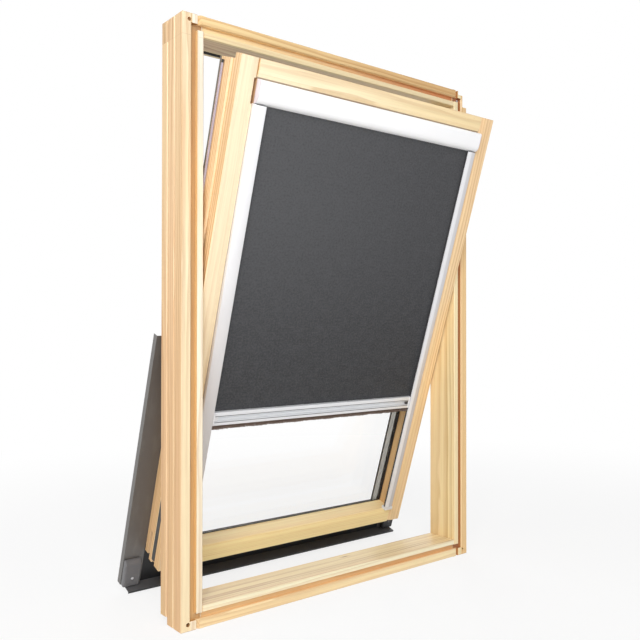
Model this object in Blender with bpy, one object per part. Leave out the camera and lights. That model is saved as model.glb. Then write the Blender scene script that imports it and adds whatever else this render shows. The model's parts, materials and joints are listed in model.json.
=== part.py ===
"""Roller blind fitted to a centre-pivot roof window.

The outer pine frame stands upright. Its sash hangs on two pivots at half height and is stored tilted
open, with its top leaning into the room. A roller blind with side rails is fitted on the room side of
the sash.

Axes: X across the window, Y from the room (-Y) to the outdoors (+Y), Z up. The origin is the centre of
the flat underside of the sill. Sash pieces are drawn in sash coordinates: x across, t (local Y) is the
depth behind the sash's room face, u (local Z) is the height above its lower edge. All sizes are metres.
"""
import math

import bmesh
import bpy

# Seat clearance between pieces that touch, and how far a cutter runs past what it cuts
SEAT = 0.0003
CUT_BEYOND = 0.010
CUT_OVERLAP = 0.0001

# Outer frame
FRAME_WIDTH = 0.780
FRAME_HEIGHT = 1.178
FRAME_DEPTH = 0.088
JAMB_WIDTH = 0.045
RAIL_HEIGHT = 0.042
JAMB_OUTER_BAND = 0.0205
RAIL_OUTER_BAND = 0.0185
LINING_GROOVE_WIDTH = 0.0115
LINING_GROOVE_DEPTH = 0.008
LINING_GROOVE_EASE = 0.0025
SIDE_GROOVE_PLACES = (0.030, 0.060)
SIDE_GROOVE_WIDTH = 0.004
SIDE_GROOVE_DEPTH = 0.003
FOOT_NOTCH_DEPTH = 0.030
FOOT_NOTCH_HEIGHT = 0.014
BAND_END_CHAMFER = 0.007
TOP_NOTCH_WIDTH = 0.015
TOP_NOTCH_HEIGHT = 0.039
TOP_STEP_HEIGHT = 0.010
HEAD_GASKET_SETBACK = 0.066
HEAD_GASKET_WIDTH = 0.012
HEAD_GASKET_GROOVE = 0.005
HEAD_GASKET_PROUD = 0.002
WOOD_EDGE = 0.0012

# Corner screws of the frame
CORNER_SCREW_INSET = 0.015
CORNER_SCREW_UP = 0.013
CORNER_SCREW_HEAD = 0.0035
CORNER_SCREW_SHANK = 0.0020
CORNER_SCREW_LENGTH = 0.030
CORNER_SCREW_SUNK = 0.0085
SCREW_CLEARANCE = 0.0004

# Sash
SASH_SIDE_GAP = 0.004
SASH_BOTTOM_GAP = 0.006
SASH_TOP_GAP = 0.016
SASH_SETBACK = 0.033
STILE_WIDTH = 0.040
TOP_RAIL_HEIGHT = 0.0365
BOTTOM_RAIL_HEIGHT = 0.040
STILE_CHAMFER_WIDTH = 0.014
RAIL_CHAMFER_WIDTH = 0.010
CHAMFER_DEPTH = 0.004
GLASS_SHOULDER = 0.048
GLASS_REBATE = 0.016
STILE_TOP_STEP = 0.010
STILE_TOP_STEP_SETBACK = 0.020
STILE_FOOT_STEP = 0.010
STILE_FOOT_SLOT_HEIGHT = 0.065
STILE_FOOT_SLOT_SETBACK = 0.050
STILE_FOOT_SLOT_WIDTH = 0.008
SIDE_SEAL_SETBACK = 0.024
SIDE_SEAL_WIDTH = 0.014
SIDE_SEAL_GROOVE = 0.005
SIDE_SEAL_PROUD = 0.0012
SIDE_SEAL_HINGE_GAP = 0.010
OPEN_ANGLE = math.radians(18.8)

# Pivot hinges
PIVOT_FROM_BACK = 0.012
PIVOT_RADIUS = 0.005
PIVOT_CLEARANCE = 0.0003
PIVOT_IN_STILE = 0.012
SASH_PLATE_THICKNESS = 0.0012
FRAME_PLATE_THICKNESS = 0.0015
WASHER_THICKNESS = 0.0004
WASHER_RADIUS = 0.011
HINGE_PLATE_HEIGHT = 0.120
FRAME_PLATE_FRONT = 0.012
HINGE_PLATE_MARGIN = 0.012
SASH_PLATE_FRONT = 0.042
HINGE_SCREW_SPACING = 0.080
HINGE_SCREW_HEAD = 0.0030

# Glass unit
PANE_THICKNESS = 0.004
PANE_GAP = 0.0156
GLASS_BITE = 0.014
SPACER_WIDTH = 0.010
SPACER_SHOW = 0.008
SPACER_FOOT = 0.002
SPACER_FOOT_RISE = 0.001
ROOM_SEAL_WIDTH = 0.006
ROOM_SEAL_FOOT = 0.0015
ROOM_SEAL_THICKNESS = 0.002
OUTER_SEAL_THICKNESS = 0.0012

# Outer covers
SHEET = 0.0012
COVER_OVERHANG = 0.045
COVER_LIP = 0.014
COVER_START = 0.030
COVER_SHOW = 0.008
COVER_FOOT_BITE = 0.002
BOTTOM_COVER_HANG = 0.068
BOTTOM_COVER_LAP = 0.022
BOTTOM_FLANGE_REACH = 0.032
BOTTOM_FLANGE_LIP = 0.004
BOTTOM_FLANGE_OVERHANG = 0.038
END_BLOCK_WIDTH = 0.036
END_BLOCK_DEPTH = 0.014
END_BLOCK_HEIGHT = 0.062
END_BLOCK_EDGE = 0.002
COVER_SCREW_HEAD = 0.0032
COVER_SCREW_HEIGHT = 0.0016

# Headbox of the blind
HEADBOX_HEIGHT = 0.046
HEADBOX_PROUD = 0.012
HEADBOX_DEPTH_BEHIND = 0.036
HEADBOX_WALL = 0.0012
HEADBOX_NOSE = 0.006
HEADBOX_LIP_RISE = 0.010
HEADBOX_SLOT = 0.008
HEADBOX_LAP = 0.014
HEADBOX_CAP = 0.0014
BRACKET_THICKNESS = 0.0025
POCKET_WIDTH = 0.005
POCKET_DEPTH = 0.006

# Roller
TUBE_RADIUS = 0.009
TUBE_WALL = 0.001
ROLL_RADIUS = 0.013
SHAFT_RADIUS = 0.0025
SPRING_RADIUS = 0.0060
SPRING_WALL = 0.0012
SPRING_LENGTH = 0.120
PLUG_LENGTH = 0.018

# Fabric, side rails and bottom bar
FABRIC_SETBACK = 0.001
FABRIC_THICKNESS = 0.0008
FABRIC_IN_RAIL = 0.017
BLIND_DROP = 0.625
SIDE_RAIL_FACE = 0.0245
SIDE_RAIL_PROUD = 0.008
SIDE_RAIL_DEPTH = 0.016
SIDE_RAIL_REAR = 0.015
SIDE_RAIL_WALL = 0.0014
SIDE_RAIL_HOOK = 0.0058
RAIL_FOOT_HEIGHT = 0.008
BAR_HEIGHT = 0.030
BAR_PROUD = 0.006
BAR_BACK = 0.006
BAR_RIB = 0.0050
BAR_GROOVE_DEPTH = 0.0030
BAR_END_ROOM = 0.0015
GLIDE_THICKNESS = 0.0045
GLIDE_HEIGHT = 0.022
GLIDE_ROOM = 0.0010
BRUSH_THICKNESS = 0.0016
BRUSH_BACKING = 0.0012
BRISTLE_COUNT = 300
BRISTLE_LENGTH = 0.0045
BRISTLE_RAGGEDNESS = 0.0012
BRISTLE_LEAN = 0.0006

ROUND = 24

# Derived places
GLASS_FRONT = GLASS_SHOULDER + SEAT
SPACER_FRONT = GLASS_FRONT + PANE_THICKNESS + SEAT
OUTER_PANE_FRONT = SPACER_FRONT + PANE_GAP + SEAT
OUTER_SEAL_FRONT = OUTER_PANE_FRONT + PANE_THICKNESS + SEAT
SASH_DEPTH = OUTER_SEAL_FRONT + OUTER_SEAL_THICKNESS
PIVOT_DEPTH = SASH_DEPTH - PIVOT_FROM_BACK
HALF_WIDTH = FRAME_WIDTH / 2
HALF_DEPTH = FRAME_DEPTH / 2
JAMB_INNER = HALF_WIDTH - JAMB_WIDTH
SASH_HALF = JAMB_INNER - SASH_SIDE_GAP
SASH_HEIGHT = FRAME_HEIGHT - 2 * RAIL_HEIGHT - SASH_BOTTOM_GAP - SASH_TOP_GAP
SASH_BASE_Z = RAIL_HEIGHT + SASH_BOTTOM_GAP
DAYLIGHT_HALF = SASH_HALF - STILE_WIDTH
DAYLIGHT_TOP = SASH_HEIGHT - TOP_RAIL_HEIGHT
PIVOT_U = SASH_HEIGHT / 2
PIVOT_Y = -HALF_DEPTH + SASH_SETBACK + PIVOT_DEPTH
PIVOT_Z = SASH_BASE_Z + PIVOT_U
COVER_FRONT = SASH_DEPTH + SEAT
COVER_BACK = COVER_FRONT + SHEET
HEADBOX_TOP = DAYLIGHT_TOP - SEAT
HEADBOX_BOTTOM = HEADBOX_TOP - HEADBOX_HEIGHT
HEADBOX_HALF = DAYLIGHT_HALF - SEAT
ROLLER_T = FABRIC_SETBACK + FABRIC_THICKNESS / 2 + SEAT + ROLL_RADIUS
ROLLER_U = HEADBOX_TOP - HEADBOX_HEIGHT / 2
BAR_TOP = HEADBOX_BOTTOM - BLIND_DROP
SIDE_RAIL_OUTER = DAYLIGHT_HALF - SEAT
SIDE_RAIL_INNER = SIDE_RAIL_OUTER - SIDE_RAIL_FACE
FABRIC_HALF = SIDE_RAIL_INNER + FABRIC_IN_RAIL
FOOT_BASE = BOTTOM_RAIL_HEIGHT + SEAT
SIDE_RAIL_BASE = FOOT_BASE + RAIL_FOOT_HEIGHT + SEAT
SIDES = (("left", -1), ("right", 1))
FRAME_SCREW_Y = (FRAME_PLATE_FRONT + HALF_DEPTH) / 2
SASH_SCREW_T = SASH_PLATE_FRONT + HINGE_PLATE_MARGIN


def clear_scene():
    """Remove every object that the opened file holds."""
    for item in list(bpy.data.objects):
        bpy.data.objects.remove(item, do_unlink=True)


def material(name, colour, roughness, metallic=0.0):
    """Make a Principled material with one colour, or fetch the one already made."""
    found = bpy.data.materials.get(name)
    if found:
        return found
    made = bpy.data.materials.new(name)
    made.use_nodes = True
    shader = made.node_tree.nodes["Principled BSDF"]
    shader.inputs["Base Color"].default_value = (*colour, 1.0)
    shader.inputs["Roughness"].default_value = roughness
    shader.inputs["Metallic"].default_value = metallic
    return made


def finish(kind):
    """Give the material of one kind of piece."""
    table = {
        "pine": ((0.86, 0.68, 0.42), 0.45, 0.0),
        "white_metal": ((0.82, 0.82, 0.83), 0.35, 0.3),
        "silver": ((0.66, 0.67, 0.69), 0.32, 0.9),
        "fabric": ((0.075, 0.078, 0.082), 0.85, 0.0),
        "dark_metal": ((0.10, 0.095, 0.09), 0.45, 0.6),
        "black_rubber": ((0.02, 0.02, 0.02), 0.75, 0.0),
        "steel": ((0.60, 0.60, 0.61), 0.35, 1.0),
        "grey_plastic": ((0.19, 0.185, 0.19), 0.5, 0.0),
        "white_plastic": ((0.80, 0.80, 0.81), 0.45, 0.0),
        "glass": ((0.80, 0.90, 0.88), 0.05, 0.0),
        "brush": ((0.17, 0.13, 0.11), 0.9, 0.0),
    }
    colour, roughness, metallic = table[kind]
    return material(kind, colour, roughness, metallic)


def add_object(name, mesh_builder, kind, parent=None, place=(0.0, 0.0, 0.0)):
    """Make an object from a bmesh, with its material, place and parent."""
    bmesh.ops.recalc_face_normals(mesh_builder, faces=mesh_builder.faces)
    mesh = bpy.data.meshes.new(name)
    mesh_builder.to_mesh(mesh)
    mesh_builder.free()
    made = bpy.data.objects.new(name, mesh)
    bpy.context.collection.objects.link(made)
    made.parent = parent
    made.location = place
    if kind:
        mesh.materials.append(finish(kind))
    return made


def empty(name, place, parent=None, tilt=0.0):
    """Make an empty that carries other objects."""
    made = bpy.data.objects.new(name, None)
    bpy.context.collection.objects.link(made)
    made.parent = parent
    made.location = place
    made.rotation_euler = (tilt, 0.0, 0.0)
    return made


def placed_point(axis, pair, along):
    """Turn an outline pair and a distance along an axis into a point."""
    first, second = pair
    return {"X": (along, first, second), "Y": (first, along, second), "Z": (first, second, along)}[axis]


def add_prism(builder, outline, axis, start, end):
    """Extrude a closed outline along X (pairs y,z), Y (pairs x,z) or Z (pairs x,y)."""
    low = [builder.verts.new(placed_point(axis, pair, start)) for pair in outline]
    high = [builder.verts.new(placed_point(axis, pair, end)) for pair in outline]
    count = len(outline)
    faces = [builder.faces.new(low), builder.faces.new(high)]
    for index in range(count):
        after = (index + 1) % count
        faces.append(builder.faces.new((low[index], low[after], high[after], high[index])))
    bmesh.ops.recalc_face_normals(builder, faces=faces)


def add_block(builder, low, high):
    """Add a rectangular block between two corners."""
    outline = [(low[1], low[2]), (high[1], low[2]), (high[1], high[2]), (low[1], high[2])]
    add_prism(builder, outline, "X", low[0], high[0])


def add_turned(builder, rings, axis, centre, sides=ROUND, closed=True):
    """Turn rings of (radius, distance) about a line parallel to an axis through the centre."""
    loops = []
    for radius, along in rings:
        loop = []
        for step in range(sides):
            angle = 2 * math.pi * step / sides
            pair = (centre[0] + radius * math.cos(angle), centre[1] + radius * math.sin(angle))
            loop.append(builder.verts.new(placed_point(axis, pair, along)))
        loops.append(loop)
    faces = []
    last = len(loops) if not closed else len(loops) - 1
    for index in range(last):
        near, far = loops[index], loops[(index + 1) % len(loops)]
        for step in range(sides):
            after = (step + 1) % sides
            faces.append(builder.faces.new((near[step], near[after], far[after], far[step])))
    if closed:
        faces.append(builder.faces.new(loops[0]))
        faces.append(builder.faces.new(loops[-1]))
    bmesh.ops.recalc_face_normals(builder, faces=faces)


def add_sleeve(builder, outer, inner, axis, centre, start, end, sides=ROUND):
    """Add a tube with open ends."""
    rings = [(outer, start), (outer, end), (inner, end), (inner, start)]
    add_turned(builder, rings, axis, centre, sides, closed=False)


def prism(name, kind, outline, axis, start, end, parent=None, place=(0.0, 0.0, 0.0)):
    """Make an object that is one extruded outline."""
    builder = bmesh.new()
    add_prism(builder, outline, axis, start, end)
    return add_object(name, builder, kind, parent, place)


def smooth_round(made):
    """Shade a turned piece smooth, with its sharp edges kept."""
    made.data.shade_smooth()
    made.data.set_sharp_from_angle(angle=math.radians(35))
    return made


def ease_edges(made, width=WOOD_EDGE, segments=1):
    """Round the outward edges of a planed or moulded piece; the inward corners of its grooves stay sharp."""
    builder = bmesh.new()
    builder.from_mesh(made.data)
    weight = builder.edges.layers.float.new("bevel_weight_edge")
    for edge in builder.edges:
        if edge.is_convex and edge.calc_face_angle() > math.radians(30):
            edge[weight] = 1.0
    builder.to_mesh(made.data)
    builder.free()
    bevel = made.modifiers.new("eased_edges", "BEVEL")
    bevel.width = width
    bevel.segments = segments
    bevel.limit_method = "WEIGHT"


def carve(made, builder, operation="DIFFERENCE"):
    """Cut a shape out of a piece, or join it on."""
    cutter = add_object(made.name + "_" + operation.lower(), builder, None, made.parent, made.location)
    cutter.hide_render = True
    cutter.display_type = "WIRE"
    change = made.modifiers.new(operation.lower(), "BOOLEAN")
    change.operation = operation
    change.object = cutter
    change.solver = "EXACT"


def frame_jamb(label, side):
    """One upright of the frame, with its lining groove, side grooves and joints for head and sill."""
    outline = [(0.0, -HALF_DEPTH)]
    for setback in SIDE_GROOVE_PLACES:
        near = -HALF_DEPTH + setback
        far = near + SIDE_GROOVE_WIDTH
        outline += [(0.0, near), (-SIDE_GROOVE_DEPTH, near), (-SIDE_GROOVE_DEPTH, far), (0.0, far)]
    outline += [(0.0, HALF_DEPTH), (-JAMB_WIDTH, HALF_DEPTH), (-JAMB_WIDTH, -HALF_DEPTH)]
    outline = [(side * across, depth) for across, depth in outline]
    jamb = prism("frame_jamb_" + label, "pine", outline, "Z", 0.0, FRAME_HEIGHT,
                 place=(side * HALF_WIDTH, 0.0, 0.0))
    ease_edges(jamb)
    groove_floor = -HALF_DEPTH + LINING_GROOVE_DEPTH
    groove_outer = -side * JAMB_OUTER_BAND
    groove_inner = -side * (JAMB_OUTER_BAND + LINING_GROOVE_WIDTH)
    inner_side = -side * (JAMB_WIDTH + CUT_BEYOND)
    eased = groove_outer + side * (LINING_GROOVE_EASE + CUT_BEYOND)
    groove = [(eased, -HALF_DEPTH - CUT_BEYOND), (groove_outer, -HALF_DEPTH + LINING_GROOVE_EASE),
              (groove_outer, groove_floor), (groove_inner, groove_floor),
              (groove_inner, -HALF_DEPTH - CUT_BEYOND)]
    cutters = bmesh.new()
    add_prism(cutters, groove, "Z", RAIL_OUTER_BAND, FRAME_HEIGHT - RAIL_OUTER_BAND)
    carve(jamb, cutters)
    groove_end = RAIL_OUTER_BAND + LINING_GROOVE_WIDTH
    for low, high in ((-CUT_BEYOND, groove_end), (FRAME_HEIGHT - groove_end, FRAME_HEIGHT + CUT_BEYOND)):
        housing = bmesh.new()
        add_block(housing, (groove_inner + side * CUT_OVERLAP, -HALF_DEPTH - CUT_BEYOND, low),
                  (inner_side, groove_floor, high))
        carve(jamb, housing)
    foot = bmesh.new()
    add_block(foot, (side * CUT_BEYOND, HALF_DEPTH - FOOT_NOTCH_DEPTH, -CUT_BEYOND),
              (inner_side, HALF_DEPTH + CUT_BEYOND, FOOT_NOTCH_HEIGHT))
    carve(jamb, foot)
    holes = bmesh.new()
    head, shank = CORNER_SCREW_HEAD + SCREW_CLEARANCE, CORNER_SCREW_SHANK + SCREW_CLEARANCE
    rings = screw_rings(-HALF_DEPTH, head, shank, CORNER_SCREW_LENGTH + SCREW_CLEARANCE, CUT_BEYOND)
    for _, inset, height in corner_screw_places(side):
        add_turned(holes, rings, "Y", (-side * inset, height), sides=16)
    carve(jamb, holes)
    if side > 0:
        notch_jamb_top(jamb)


def notch_jamb_top(jamb):
    """The two steps that are cut into the outer top corner of the right jamb."""
    steps = ((0.0, TOP_NOTCH_WIDTH, TOP_NOTCH_HEIGHT), (TOP_NOTCH_WIDTH, 2 * TOP_NOTCH_WIDTH, TOP_STEP_HEIGHT))
    for near, far, height in steps:
        cutter = bmesh.new()
        near_side = CUT_BEYOND if near == 0.0 else -near + CUT_OVERLAP
        add_block(cutter, (-far, -HALF_DEPTH - CUT_BEYOND, FRAME_HEIGHT - height),
                  (near_side, HALF_DEPTH + CUT_BEYOND, FRAME_HEIGHT + CUT_BEYOND))
        carve(jamb, cutter)


def corner_screw_places(side):
    """Name, inset from the jamb's outer side and height of the two corner screws of one jamb."""
    bottom = ("bottom", CORNER_SCREW_INSET, CORNER_SCREW_UP)
    if side > 0:
        half_groove = LINING_GROOVE_WIDTH / 2
        height = FRAME_HEIGHT - RAIL_OUTER_BAND - half_groove
        return (bottom, ("top", JAMB_OUTER_BAND + half_groove, height))
    return (bottom, ("top", CORNER_SCREW_INSET, FRAME_HEIGHT - CORNER_SCREW_UP))


def screw_rings(face, head, shank, length, above=0.0):
    """Rings of a sunk screw with a cylinder head; a hole for it starts above the face instead."""
    head_top = face - above if above else face + CORNER_SCREW_SUNK
    head_end = face + CORNER_SCREW_SUNK + CORNER_SCREW_HEAD
    if above:
        head_end += SCREW_CLEARANCE
    return [(head, head_top), (head, head_end), (shank, head_end), (shank, face + length)]


def band_ears(top):
    """The ends of a head or sill band that lap over the jambs' inner edges."""
    ears = bmesh.new()
    floor = -HALF_DEPTH + LINING_GROOVE_DEPTH - SEAT
    tip = HALF_WIDTH - JAMB_OUTER_BAND - LINING_GROOVE_WIDTH - SEAT
    root = JAMB_INNER - 0.004
    low = FRAME_HEIGHT - RAIL_OUTER_BAND if top else 0.0
    for _, side in SIDES:
        outline = [(side * root, floor), (side * tip, floor), (side * tip, -HALF_DEPTH + BAND_END_CHAMFER),
                   (side * (tip - BAND_END_CHAMFER), -HALF_DEPTH), (side * root, -HALF_DEPTH)]
        add_prism(ears, outline, "Z", low, low + RAIL_OUTER_BAND)
    return ears


def ease_groove(member, edge, way):
    """Slope the outer edge of a cross member's lining groove; way points from the groove into the wood."""
    reach = LINING_GROOVE_EASE + CUT_OVERLAP
    slope = [(-HALF_DEPTH + reach, edge - way * CUT_OVERLAP), (-HALF_DEPTH - CUT_OVERLAP, edge + way * reach),
             (-HALF_DEPTH - CUT_OVERLAP, edge - way * CUT_OVERLAP)]
    half = HALF_WIDTH - JAMB_OUTER_BAND
    cutter = bmesh.new()
    add_prism(cutter, slope, "X", -half, half)
    carve(member, cutter)


def frame_head():
    """The upper cross member, grooved for the lining in front and for a seal underneath."""
    under = FRAME_HEIGHT - RAIL_HEIGHT
    groove_low = FRAME_HEIGHT - RAIL_OUTER_BAND - LINING_GROOVE_WIDTH
    groove_high = FRAME_HEIGHT - RAIL_OUTER_BAND
    seal_near = -HALF_DEPTH + HEAD_GASKET_SETBACK
    seal_far = seal_near + HEAD_GASKET_WIDTH
    floor = -HALF_DEPTH + LINING_GROOVE_DEPTH
    outline = [(-HALF_DEPTH, under), (seal_near, under), (seal_near, under + HEAD_GASKET_GROOVE),
               (seal_far, under + HEAD_GASKET_GROOVE), (seal_far, under), (HALF_DEPTH, under),
               (HALF_DEPTH, FRAME_HEIGHT), (-HALF_DEPTH, FRAME_HEIGHT), (-HALF_DEPTH, groove_high),
               (floor, groove_high), (floor, groove_low), (-HALF_DEPTH, groove_low)]
    half = JAMB_INNER - SEAT
    head = prism("frame_head", "pine", outline, "X", -half, half)
    ease_edges(head)
    carve(head, band_ears(True), "UNION")
    ease_groove(head, groove_high, 1.0)


def frame_sill():
    """The lower cross member, grooved for the lining in front."""
    groove_high = RAIL_OUTER_BAND + LINING_GROOVE_WIDTH
    floor = -HALF_DEPTH + LINING_GROOVE_DEPTH
    outline = [(-HALF_DEPTH, 0.0), (HALF_DEPTH, 0.0), (HALF_DEPTH, RAIL_HEIGHT), (-HALF_DEPTH, RAIL_HEIGHT),
               (-HALF_DEPTH, groove_high), (floor, groove_high), (floor, RAIL_OUTER_BAND),
               (-HALF_DEPTH, RAIL_OUTER_BAND)]
    half = JAMB_INNER - SEAT
    sill = prism("frame_sill", "pine", outline, "X", -half, half)
    ease_edges(sill)
    carve(sill, band_ears(False), "UNION")
    ease_groove(sill, RAIL_OUTER_BAND, -1.0)


def frame_head_gasket():
    """The rubber strip in the groove under the head."""
    under = FRAME_HEIGHT - RAIL_HEIGHT
    near = -HALF_DEPTH + HEAD_GASKET_SETBACK + SEAT
    far = -HALF_DEPTH + HEAD_GASKET_SETBACK + HEAD_GASKET_WIDTH - SEAT
    low = under - HEAD_GASKET_PROUD
    high = under + HEAD_GASKET_GROOVE - SEAT
    third = (far - near) / 3
    outline = [(near, under), (near + third, low), (far - third, low), (far, under), (far, high),
               (near, high)]
    half = JAMB_INNER - 2 * SEAT
    return prism("frame_head_gasket", "black_rubber", outline, "X", -half, half)


def frame_corner_screws():
    """Four sunk screws, one in each corner of the frame's room face."""
    rings = screw_rings(-HALF_DEPTH, CORNER_SCREW_HEAD, CORNER_SCREW_SHANK, CORNER_SCREW_LENGTH)
    for label, side in SIDES:
        for place, inset, height in corner_screw_places(side):
            builder = bmesh.new()
            add_turned(builder, rings, "Y", (side * (HALF_WIDTH - inset), height), sides=16)
            smooth_round(add_object("frame_screw_" + label + "_" + place, builder, "steel"))


def build_frame():
    """Build the fixed outer frame."""
    for label, side in SIDES:
        frame_jamb(label, side)
    frame_head()
    frame_sill()
    frame_head_gasket()
    frame_corner_screws()


def hinge_frame_plate(label, side):
    """The pivot plate screwed to a jamb, reaching back to the pivot."""
    outer = side * (JAMB_INNER - SEAT)
    inner = outer - side * FRAME_PLATE_THICKNESS
    half = HINGE_PLATE_HEIGHT / 2
    front = FRAME_PLATE_FRONT
    back = PIVOT_Y + HINGE_PLATE_MARGIN
    corner = HINGE_PLATE_MARGIN
    outline = [(front, -half), (HALF_DEPTH - corner, -half), (back, -corner), (back, corner),
               (HALF_DEPTH - corner, half), (front, half)]
    plate = prism("hinge_frame_plate_" + label, "steel", outline, "X", inner, outer,
                  place=(0.0, 0.0, PIVOT_Z))
    holes = bmesh.new()
    add_turned(holes, [(PIVOT_RADIUS + PIVOT_CLEARANCE, inner - side * CUT_BEYOND),
                       (PIVOT_RADIUS + PIVOT_CLEARANCE, outer + side * CUT_BEYOND)], "X", (PIVOT_Y, 0.0))
    for offset in (-HINGE_SCREW_SPACING / 2, HINGE_SCREW_SPACING / 2):
        add_turned(holes, [(HINGE_SCREW_HEAD + SCREW_CLEARANCE, inner - side * CUT_BEYOND),
                           (HINGE_SCREW_HEAD + SCREW_CLEARANCE, outer + side * CUT_BEYOND)],
                   "X", (FRAME_SCREW_Y, offset), sides=12)
    carve(plate, holes)


def hinge_sash_plate(label, side, pivot):
    """The pivot plate on the outer face of a stile; it turns with the sash."""
    inner = side * (SASH_HALF + SEAT)
    outer = inner + side * SASH_PLATE_THICKNESS
    half = HINGE_PLATE_HEIGHT / 2
    front = SASH_PLATE_FRONT - PIVOT_DEPTH
    back = SASH_DEPTH - PIVOT_DEPTH
    corner = HINGE_PLATE_MARGIN
    outline = [(front, -half + corner), (front + corner, -half), (back, -half), (back, half),
               (front + corner, half), (front, half - corner)]
    plate = prism("hinge_sash_plate_" + label, "steel", outline, "X", inner, outer, parent=pivot)
    holes = bmesh.new()
    hole = PIVOT_RADIUS + PIVOT_CLEARANCE
    add_turned(holes, [(hole, inner - side * CUT_BEYOND), (hole, outer + side * CUT_BEYOND)], "X", (0.0, 0.0))
    for offset in (-HINGE_SCREW_SPACING / 2, HINGE_SCREW_SPACING / 2):
        wide = HINGE_SCREW_HEAD + SCREW_CLEARANCE
        add_turned(holes, [(wide, inner - side * CUT_BEYOND), (wide, outer + side * CUT_BEYOND)],
                   "X", (SASH_SCREW_T - PIVOT_DEPTH, offset), sides=12)
    carve(plate, holes)


def pivot_pin(label, side, pivot):
    """The pivot pin, held in the stile and turning in the frame plate."""
    root = side * (SASH_HALF - PIVOT_IN_STILE + SEAT)
    tip = side * (JAMB_INNER - SEAT)
    builder = bmesh.new()
    add_turned(builder, [(PIVOT_RADIUS, root), (PIVOT_RADIUS, tip)], "X", (0.0, 0.0))
    smooth_round(add_object("pivot_pin_" + label, builder, "steel", pivot))


def pivot_washer(label, side, pivot):
    """The friction washer, in the middle of the gap between the two pivot plates."""
    plate = SASH_HALF + SEAT + SASH_PLATE_THICKNESS
    space = JAMB_INNER - SEAT - FRAME_PLATE_THICKNESS - plate
    start = side * (plate + (space - WASHER_THICKNESS) / 2)
    end = start + side * WASHER_THICKNESS
    builder = bmesh.new()
    add_sleeve(builder, WASHER_RADIUS, PIVOT_RADIUS + PIVOT_CLEARANCE, "X", (0.0, 0.0), start, end)
    smooth_round(add_object("pivot_washer_" + label, builder, "grey_plastic", pivot))


def build_hinges(pivot):
    """Build both pivot hinges."""
    for label, side in SIDES:
        hinge_frame_plate(label, side)
        hinge_sash_plate(label, side, pivot)
        pivot_pin(label, side, pivot)
        pivot_washer(label, side, pivot)


def sash_stile(label, side, sash):
    """One upright of the sash, with its chamfer, glass rebate, seal groove, bracket pocket and holes."""
    shoulder = SASH_HALF - STILE_WIDTH + GLASS_REBATE
    seal_far = SIDE_SEAL_SETBACK + SIDE_SEAL_WIDTH
    outline = [(DAYLIGHT_HALF, CHAMFER_DEPTH), (DAYLIGHT_HALF + STILE_CHAMFER_WIDTH, 0.0), (SASH_HALF, 0.0),
               (SASH_HALF, SIDE_SEAL_SETBACK), (SASH_HALF - SIDE_SEAL_GROOVE, SIDE_SEAL_SETBACK),
               (SASH_HALF - SIDE_SEAL_GROOVE, seal_far), (SASH_HALF, seal_far), (SASH_HALF, SASH_DEPTH),
               (shoulder, SASH_DEPTH), (shoulder, GLASS_SHOULDER), (DAYLIGHT_HALF, GLASS_SHOULDER)]
    outline = [(side * across, depth) for across, depth in outline]
    stile = prism("sash_stile_" + label, "pine", outline, "Z", 0.0, SASH_HEIGHT, parent=sash)
    ease_edges(stile)
    steps = bmesh.new()
    step_low = (side * (DAYLIGHT_HALF - CUT_BEYOND), STILE_TOP_STEP_SETBACK, SASH_HEIGHT - STILE_TOP_STEP)
    add_block(steps, step_low,
              (side * (SASH_HALF + CUT_BEYOND), SASH_DEPTH + CUT_BEYOND, SASH_HEIGHT + CUT_BEYOND))
    carve(stile, steps)
    slot_far = STILE_FOOT_SLOT_SETBACK + STILE_FOOT_SLOT_WIDTH
    for near, far, height in ((slot_far - CUT_OVERLAP, SASH_DEPTH + CUT_BEYOND, STILE_FOOT_STEP),
                              (STILE_FOOT_SLOT_SETBACK, slot_far, STILE_FOOT_SLOT_HEIGHT)):
        foot = bmesh.new()
        add_block(foot, (side * (DAYLIGHT_HALF - CUT_BEYOND), near, -CUT_BEYOND),
                  (side * (SASH_HALF + CUT_BEYOND), far, height))
        carve(stile, foot)
    holes = bmesh.new()
    add_block(holes, (side * (DAYLIGHT_HALF - CUT_BEYOND), -CUT_BEYOND, HEADBOX_BOTTOM),
              (side * (DAYLIGHT_HALF + POCKET_WIDTH), POCKET_DEPTH + CHAMFER_DEPTH, HEADBOX_TOP))
    outer = side * (SASH_HALF + CUT_BEYOND)
    pin_hole = PIVOT_RADIUS + PIVOT_CLEARANCE
    add_turned(holes, [(pin_hole, side * (SASH_HALF - PIVOT_IN_STILE)), (pin_hole, outer)], "X",
               (PIVOT_DEPTH, PIVOT_U))
    carve(stile, holes)


def sash_rail(name, low, high, sash):
    """A cross member of the sash, chamfered in front and rebated behind along its daylight edge."""
    upper = low > 0.0
    day, back = (low, high) if upper else (high, low)
    way = 1.0 if upper else -1.0
    rebate = day + way * GLASS_REBATE
    outline = [(0.0, back), (0.0, day + way * RAIL_CHAMFER_WIDTH), (CHAMFER_DEPTH, day),
               (GLASS_SHOULDER, day), (GLASS_SHOULDER, rebate), (SASH_DEPTH, rebate), (SASH_DEPTH, back)]
    half = DAYLIGHT_HALF - SEAT
    rail = prism(name, "pine", outline, "X", -half, half, parent=sash)
    ease_edges(rail)


def side_seal(label, side, sash):
    """The rubber strip in the outer groove of a stile, from its foot up to the hinge."""
    inner = SASH_HALF - SIDE_SEAL_GROOVE + SEAT
    outer = SASH_HALF + SIDE_SEAL_PROUD
    near = SIDE_SEAL_SETBACK + SEAT
    far = SIDE_SEAL_SETBACK + SIDE_SEAL_WIDTH - SEAT
    crown = (near + far) / 2
    outline = [(inner, near), (SASH_HALF, near), (outer, crown), (SASH_HALF, far), (inner, far)]
    outline = [(side * across, depth) for across, depth in outline]
    prism("sash_side_seal_" + label, "black_rubber", outline, "Z", STILE_FOOT_STEP,
          PIVOT_U - HINGE_PLATE_HEIGHT / 2 - SIDE_SEAL_HINGE_GAP, parent=sash)


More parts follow.
